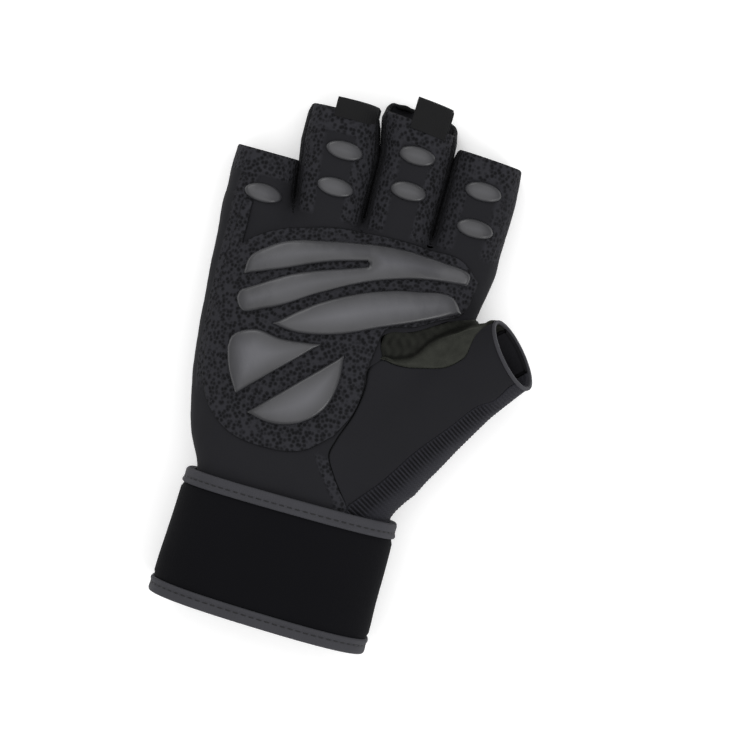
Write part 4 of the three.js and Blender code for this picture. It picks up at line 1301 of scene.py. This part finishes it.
class GloveSizes(bpy.types.PropertyGroup):
    """Sizes that change how the soft pieces look, in millimetres."""

    pad_rise: bpy.props.FloatProperty(name="Pad rise", description="How far a palm pad stands up",
                                      default=1.7, unit="NONE")
    pad_crown: bpy.props.FloatProperty(name="Pad crown", description="Extra height at a pad's middle",
                                       default=0.5)
    grip_rise: bpy.props.FloatProperty(name="Grip rise", description="How far a finger grip stands up",
                                       default=1.3)
    overlay_rise: bpy.props.FloatProperty(name="Overlay rise",
                                          description="Thickness of the embossed overlay", default=0.8)
    pit_pitch: bpy.props.FloatProperty(name="Pit pitch", description="Distance between embossed pits",
                                       default=1.5)
    stitch: bpy.props.FloatProperty(name="Stitch", description="Length of one stitch", default=2.0)


class GloveColours(bpy.types.PropertyGroup):
    """The finishes' colours."""

    cloth: bpy.props.StringProperty(name="Cloth", description="Microfibre's colour, sRGB hex",
                                    default="#1c1c1f")
    embossed: bpy.props.StringProperty(name="Overlay", description="Embossed cloth's colour, sRGB hex",
                                       default="#1c1c1f")
    pads: bpy.props.StringProperty(name="Pads", description="Rubber's colour, sRGB hex", default="#3f3f43")
    knit: bpy.props.StringProperty(name="Rib knit", description="Gusset's colour, sRGB hex",
                                   default="#27272c")
    suede: bpy.props.StringProperty(name="Suede", description="Web patch's colour, sRGB hex",
                                    default="#2c2d29")
    neoprene: bpy.props.StringProperty(name="Neoprene", description="Wrap's colour, sRGB hex",
                                       default="#0a0a0d")
    binding: bpy.props.StringProperty(name="Binding", description="Binding tape's colour, sRGB hex",
                                      default="#37373b")
    tabs: bpy.props.StringProperty(name="Tabs", description="Pull tabs' colour, sRGB hex", default="#101011")
    thread: bpy.props.StringProperty(name="Thread", description="Thread's colour, sRGB hex",
                                     default="#0e0e10")
    floor: bpy.props.StringProperty(name="Floor", description="Studio floor's colour, sRGB hex",
                                    default="#fbfbfb")


def finish_of(context, kind):
    """The material of a finish, made on its first use."""
    if kind in bpy.data.materials:
        return bpy.data.materials[kind]
    colours = context.scene.glove_colours
    sizes = context.scene.glove_sizes
    makers = {
        "microfibre_brushed": lambda name: microfibre(name, colours.cloth, sizes.pit_pitch),
        "microfibre_embossed": lambda name: microfibre(name, colours.embossed, sizes.pit_pitch),
        "silicone_rubber_moulded": lambda name: moulded_rubber(name, colours.pads),
        "elastic_rib_knit": lambda name: rib_knit(name, colours.knit),
        "synthetic_suede": lambda name: synthetic_suede(name, colours.suede),
        "neoprene_knit_faced": lambda name: knit_faced_neoprene(name, colours.neoprene),
        "binding_tape_woven": lambda name: woven_tape(name, colours.binding, 0.12),
        "tab_tape_woven": lambda name: woven_tape(name, colours.tabs),
        "polyester_thread": lambda name: sewing_thread(name, colours.thread),
        "paper_matte": lambda name: studio_paper(name, colours.floor),
    }
    return makers[kind](kind)


class GLOVE_OT_panels(bpy.types.Operator):
    """Palm and back panels with their finger stalls"""

    bl_idname = "glove.panels"
    bl_label = "Palm and back panels"

    def execute(self, context):
        cloth = finish_of(context, "microfibre_brushed")
        hand_panel("palm_panel", True, cloth, "microfibre")
        hand_panel("back_panel", False, cloth, "microfibre")
        return {"FINISHED"}


class GLOVE_OT_side_strips(bpy.types.Operator):
    """Embossed strips between neighbouring finger stalls"""

    bl_idname = "glove.side_strips"
    bl_label = "Side strips"

    def execute(self, context):
        cloth = finish_of(context, "microfibre_embossed")
        for here, after in zip(FINGERS[:-1], FINGERS[1:]):
            side_strip("side_strip_" + here["name"] + "_" + after["name"], here, after, cloth,
                       "embossed_microfibre")
        return {"FINISHED"}


class GLOVE_OT_thumb(bpy.types.Operator):
    """Thumb panel, thumb back and ribbed gusset"""

    bl_idname = "glove.thumb"
    bl_label = "Thumb stall"

    def execute(self, context):
        cloth = finish_of(context, "microfibre_brushed")
        knit = finish_of(context, "elastic_rib_knit")
        thumb_piece("thumb_panel", THUMB_OUTER, THUMB_INNER, 110, 70, cloth, "microfibre")
        thumb_piece("thumb_gusset", lambda v: GUSSET_LOW + 0 * v, THUMB_OUTER, 620, 44, knit, "rib_knit",
                    relief=gusset_ribs)
        thumb_piece("thumb_back", THUMB_UNDER, lambda v: GUSSET_LOW + 0 * v, 110, 60, cloth, "microfibre")
        return {"FINISHED"}


class GLOVE_OT_web_patch(bpy.types.Operator):
    """Suede patch over the thumb crotch"""

    bl_idname = "glove.web_patch"
    bl_label = "Web patch"

    def execute(self, context):
        web_patch(finish_of(context, "synthetic_suede"), "suede")
        return {"FINISHED"}


class GLOVE_OT_thumb_binding(bpy.types.Operator):
    """Narrow binding round the thumb stall's mouth"""

    bl_idname = "glove.thumb_binding"
    bl_label = "Thumb binding"

    def execute(self, context):
        thumb_binding(finish_of(context, "binding_tape_woven"), "binding_tape")
        return {"FINISHED"}


class GLOVE_OT_overlay(bpy.types.Operator):
    """Embossed overlay that surrounds the palm pads"""

    bl_idname = "glove.overlay"
    bl_label = "Palm overlay"

    def execute(self, context):
        rise = context.scene.glove_sizes.overlay_rise
        conforming_piece("palm_overlay", run_outline(OVERLAY_RUNS), 0.9, 0.05, rise, 0.6, 0.0,
                         finish_of(context, "microfibre_embossed"), "embossed_microfibre", emboss=1.0)
        return {"FINISHED"}


class GLOVE_OT_pads(bpy.types.Operator):
    """Rubber palm pads"""

    bl_idname = "glove.pads"
    bl_label = "Palm pads"

    def execute(self, context):
        sizes = context.scene.glove_sizes
        rubber = finish_of(context, "silicone_rubber_moulded")
        low = 0.05 + sizes.overlay_rise - 0.2
        for name, runs in PAD_RUNS.items():
            pad = conforming_piece(name, run_outline(runs), 0.8, low, sizes.pad_rise, 1.3, sizes.pad_crown,
                                   rubber,
                                   "pad_rubber", waves=0.12)
        return {"FINISHED"}


class GLOVE_OT_grips(bpy.types.Operator):
    """Oval rubber grips on the finger stalls"""

    bl_idname = "glove.grips"
    bl_label = "Finger grips"

    def execute(self, context):
        rubber = finish_of(context, "silicone_rubber_moulded")
        rise = context.scene.glove_sizes.grip_rise
        turn = np.linspace(0, 2 * pi, 72, endpoint=False)
        for finger in FINGERS:
            for name, across, along in finger["grips"]:
                middle = np.array([across * PALM_WIDTH, CROTCH_Y + along * finger["length"]])
                oval = middle + np.stack([7.0 * np.cos(turn), 3.5 * np.sin(turn)], 1)
                grip = conforming_piece(name, oval, 0.5, -0.2, rise, 1.1, 0.3, rubber, "pad_rubber")
        return {"FINISHED"}


class GLOVE_OT_pull_tabs(bpy.types.Operator):
    """Folded pull tabs on the ring and middle stalls"""

    bl_idname = "glove.pull_tabs"
    bl_label = "Pull tabs"

    def execute(self, context):
        tape = finish_of(context, "tab_tape_woven")
        pull_tab("pull_tab_ring", FINGERS[1], -0.143, 15.4, 4.4, tape, "tab_tape")
        pull_tab("pull_tab_middle", FINGERS[2], 0.121, 13.6, 8.9, tape, "tab_tape")
        return {"FINISHED"}


WRAP_LOOP = subdivide(rounded_loop([[1.0, 1.2], [WRAP_HEIGHT - 1, 1.2], [WRAP_HEIGHT - 1, 3.0], [1.0, 3.0]],
                                   0.8), 3.0)
BINDING_LOOP = rounded_loop(
    # y from the wrap's edge inwards, inset; outer leg with a corded ridge at its far end, lip, inner leg
    [[0.0, 0.25], [0.9, -0.2], [2.9, -0.15], [3.35, 0.1], [3.8, -0.2], [4.9, -0.6], [5.7, -0.1], [5.6, 0.9],
     [1.0, 0.9],
     [1.0, 3.1], [0.15, 3.0]],
    0.5,
)


class GLOVE_OT_wrist_wrap(bpy.types.Operator):
    """Wrist wrap with its closing flap"""

    bl_idname = "glove.wrist_wrap"
    bl_label = "Wrist wrap"

    def execute(self, context):
        black = finish_of(context, "neoprene_knit_faced")
        profile = WRAP_LOOP.copy()
        outer = profile[:, 1] < 2.0
        belly = np.clip(np.minimum(profile[:, 0] - 4.5, WRAP_HEIGHT - 4.5 - profile[:, 0]) / 1.6, 0, 1)
        profile[:, 1] -= np.where(outer, 1.2 * belly * belly * (3 - 2 * belly), 0)
        wrap_ring("wrist_wrap", profile, black, "neoprene", noise=0.12)
        closing_flap(black, "neoprene")
        return {"FINISHED"}


class GLOVE_OT_bindings(bpy.types.Operator):
    """Bindings over the wrap's two edges"""

    bl_idname = "glove.bindings"
    bl_label = "Wrap bindings"

    def execute(self, context):
        tape = finish_of(context, "binding_tape_woven")
        lower = BINDING_LOOP.copy()
        upper = BINDING_LOOP.copy()
        upper[:, 0] = WRAP_HEIGHT - upper[:, 0]
        wrap_ring("wrap_binding_lower", lower, tape, "binding_tape", turns=300)
        wrap_ring("wrap_binding_upper", upper[::-1], tape, "binding_tape", turns=300)
        return {"FINISHED"}


class GLOVE_OT_stitching(bpy.types.Operator):
    """Visible stitches on the bindings"""

    bl_idname = "glove.stitching"
    bl_label = "Stitching"

    def execute(self, context):
        thread = finish_of(context, "polyester_thread")
        length = context.scene.glove_sizes.stitch
        turn = np.linspace(0, 2 * pi, 400)
        rows = []
        for y in (3.35, WRAP_HEIGHT - 3.35):
            points, outward = wrap_surface(np.full(400, y), np.full(400, 0.05), turn)
            rows.append(stitch_row(points, outward, length, length + 0.9, 0.55, 0.05))
        points, faces = join_rows(rows)
        add_piece("stitches_bindings", points, faces, thread, "binding_tape")
        return {"FINISHED"}


# The photo's framing: the camera looks straight down at this place of the hand frame, from this far over this
# level, shows this width there and is turned by this many degrees. Lengths are in mm.
VIEW_PLACE = (17.5, 98.9, 0.0)
VIEW_DISTANCE = 750.0
VIEW_LEVEL = 17.0
VIEW_WIDTH = 277.5
VIEW_TURN = 15.5
SENSOR_WIDTH = 36.0

class GLOVE_OT_studio(bpy.types.Operator):
    """Camera straight above, pale floor and soft lights"""

    bl_idname = "glove.studio"
    bl_label = "Studio"

    def execute(self, context):
        scene = context.scene
        aim = (np.array(VIEW_PLACE) + ORIGIN) * MM
        camera = bpy.data.cameras.new("camera_above")
        camera.sensor_width = SENSOR_WIDTH
        camera.lens = SENSOR_WIDTH * VIEW_DISTANCE / VIEW_WIDTH
        camera.clip_end = 20.0
        holder = bpy.data.objects.new("camera_above", camera)
        holder.location = (aim[0], aim[1], (VIEW_DISTANCE + VIEW_LEVEL) * MM)
        holder.rotation_euler = (0.0, 0.0, radians(VIEW_TURN))
        scene.collection.objects.link(holder)
        scene.camera = holder
        mesh = bpy.data.meshes.new("floor")
        mesh.from_pydata([(-3, -3, 0), (3, -3, 0), (3, 3, 0), (-3, 3, 0)], [], [(0, 1, 2, 3)])
        mesh.materials.append(finish_of(context, "paper_matte"))
        floor = bpy.data.objects.new("floor", mesh)
        scene.collection.objects.link(floor)
        for name, place, size, power in (
            ("light_overhead", (0.0, 0.0, 1.3), 1.6, 7.0),
            ("light_window", (-0.7, 0.9, 0.9), 0.7, 4.2),
            ("light_fill", (0.9, -0.5, 0.8), 0.6, 4.6),
        ):
            light = bpy.data.lights.new(name, "AREA")
            light.shape = "DISK"
            light.size = size
            light.energy = power
            lamp = bpy.data.objects.new(name, light)
            lamp.location = place
            lamp.rotation_euler = (Vector((0, 0, 0.02)) - Vector(place)).to_track_quat("-Z", "Y").to_euler()
            scene.collection.objects.link(lamp)
        scene.view_settings.view_transform = "Standard"
        world = bpy.data.worlds.new("studio_white")
        scene.world = world
        world.use_nodes = True
        background = world.node_tree.nodes["Background"]
        background.inputs["Color"].default_value = (1.0, 1.0, 1.0, 1.0)
        background.inputs["Strength"].default_value = 0.62
        return {"FINISHED"}


class GLOVE_PT_build(bpy.types.Panel):
    """Lists the glove's operators, sizes and colours"""

    bl_idname = "GLOVE_PT_build"
    bl_label = "Weightlifting glove"
    bl_space_type = "VIEW_3D"
    bl_region_type = "UI"
    bl_category = "Glove"

    def draw(self, context):
        for group in (context.scene.glove_sizes, context.scene.glove_colours):
            for key in group.bl_rna.properties.keys():
                if key not in ("rna_type", "name"):
                    self.layout.prop(group, key)
        for operator in OPERATORS:
            self.layout.operator(operator.bl_idname)


OPERATORS = (
    GLOVE_OT_studio,
    GLOVE_OT_panels,
    GLOVE_OT_side_strips,
    GLOVE_OT_thumb,
    GLOVE_OT_web_patch,
    GLOVE_OT_thumb_binding,
    GLOVE_OT_overlay,
    GLOVE_OT_pads,
    GLOVE_OT_grips,
    GLOVE_OT_pull_tabs,
    GLOVE_OT_wrist_wrap,
    GLOVE_OT_bindings,
    GLOVE_OT_stitching,
)
CLASSES = (GloveSizes, GloveColours) + OPERATORS + (GLOVE_PT_build,)


def register():
    for item in CLASSES:
        bpy.utils.register_class(item)
    bpy.types.Scene.glove_sizes = bpy.props.PointerProperty(type=GloveSizes)
    bpy.types.Scene.glove_colours = bpy.props.PointerProperty(type=GloveColours)


def unregister():
    del bpy.types.Scene.glove_colours
    del bpy.types.Scene.glove_sizes
    for item in reversed(CLASSES):
        bpy.utils.unregister_class(item)


def main():
    register()
    for operator in OPERATORS:
        group, name = operator.bl_idname.split(".")
        getattr(getattr(bpy.ops, group), name)()


if __name__ == "__main__":
    main()
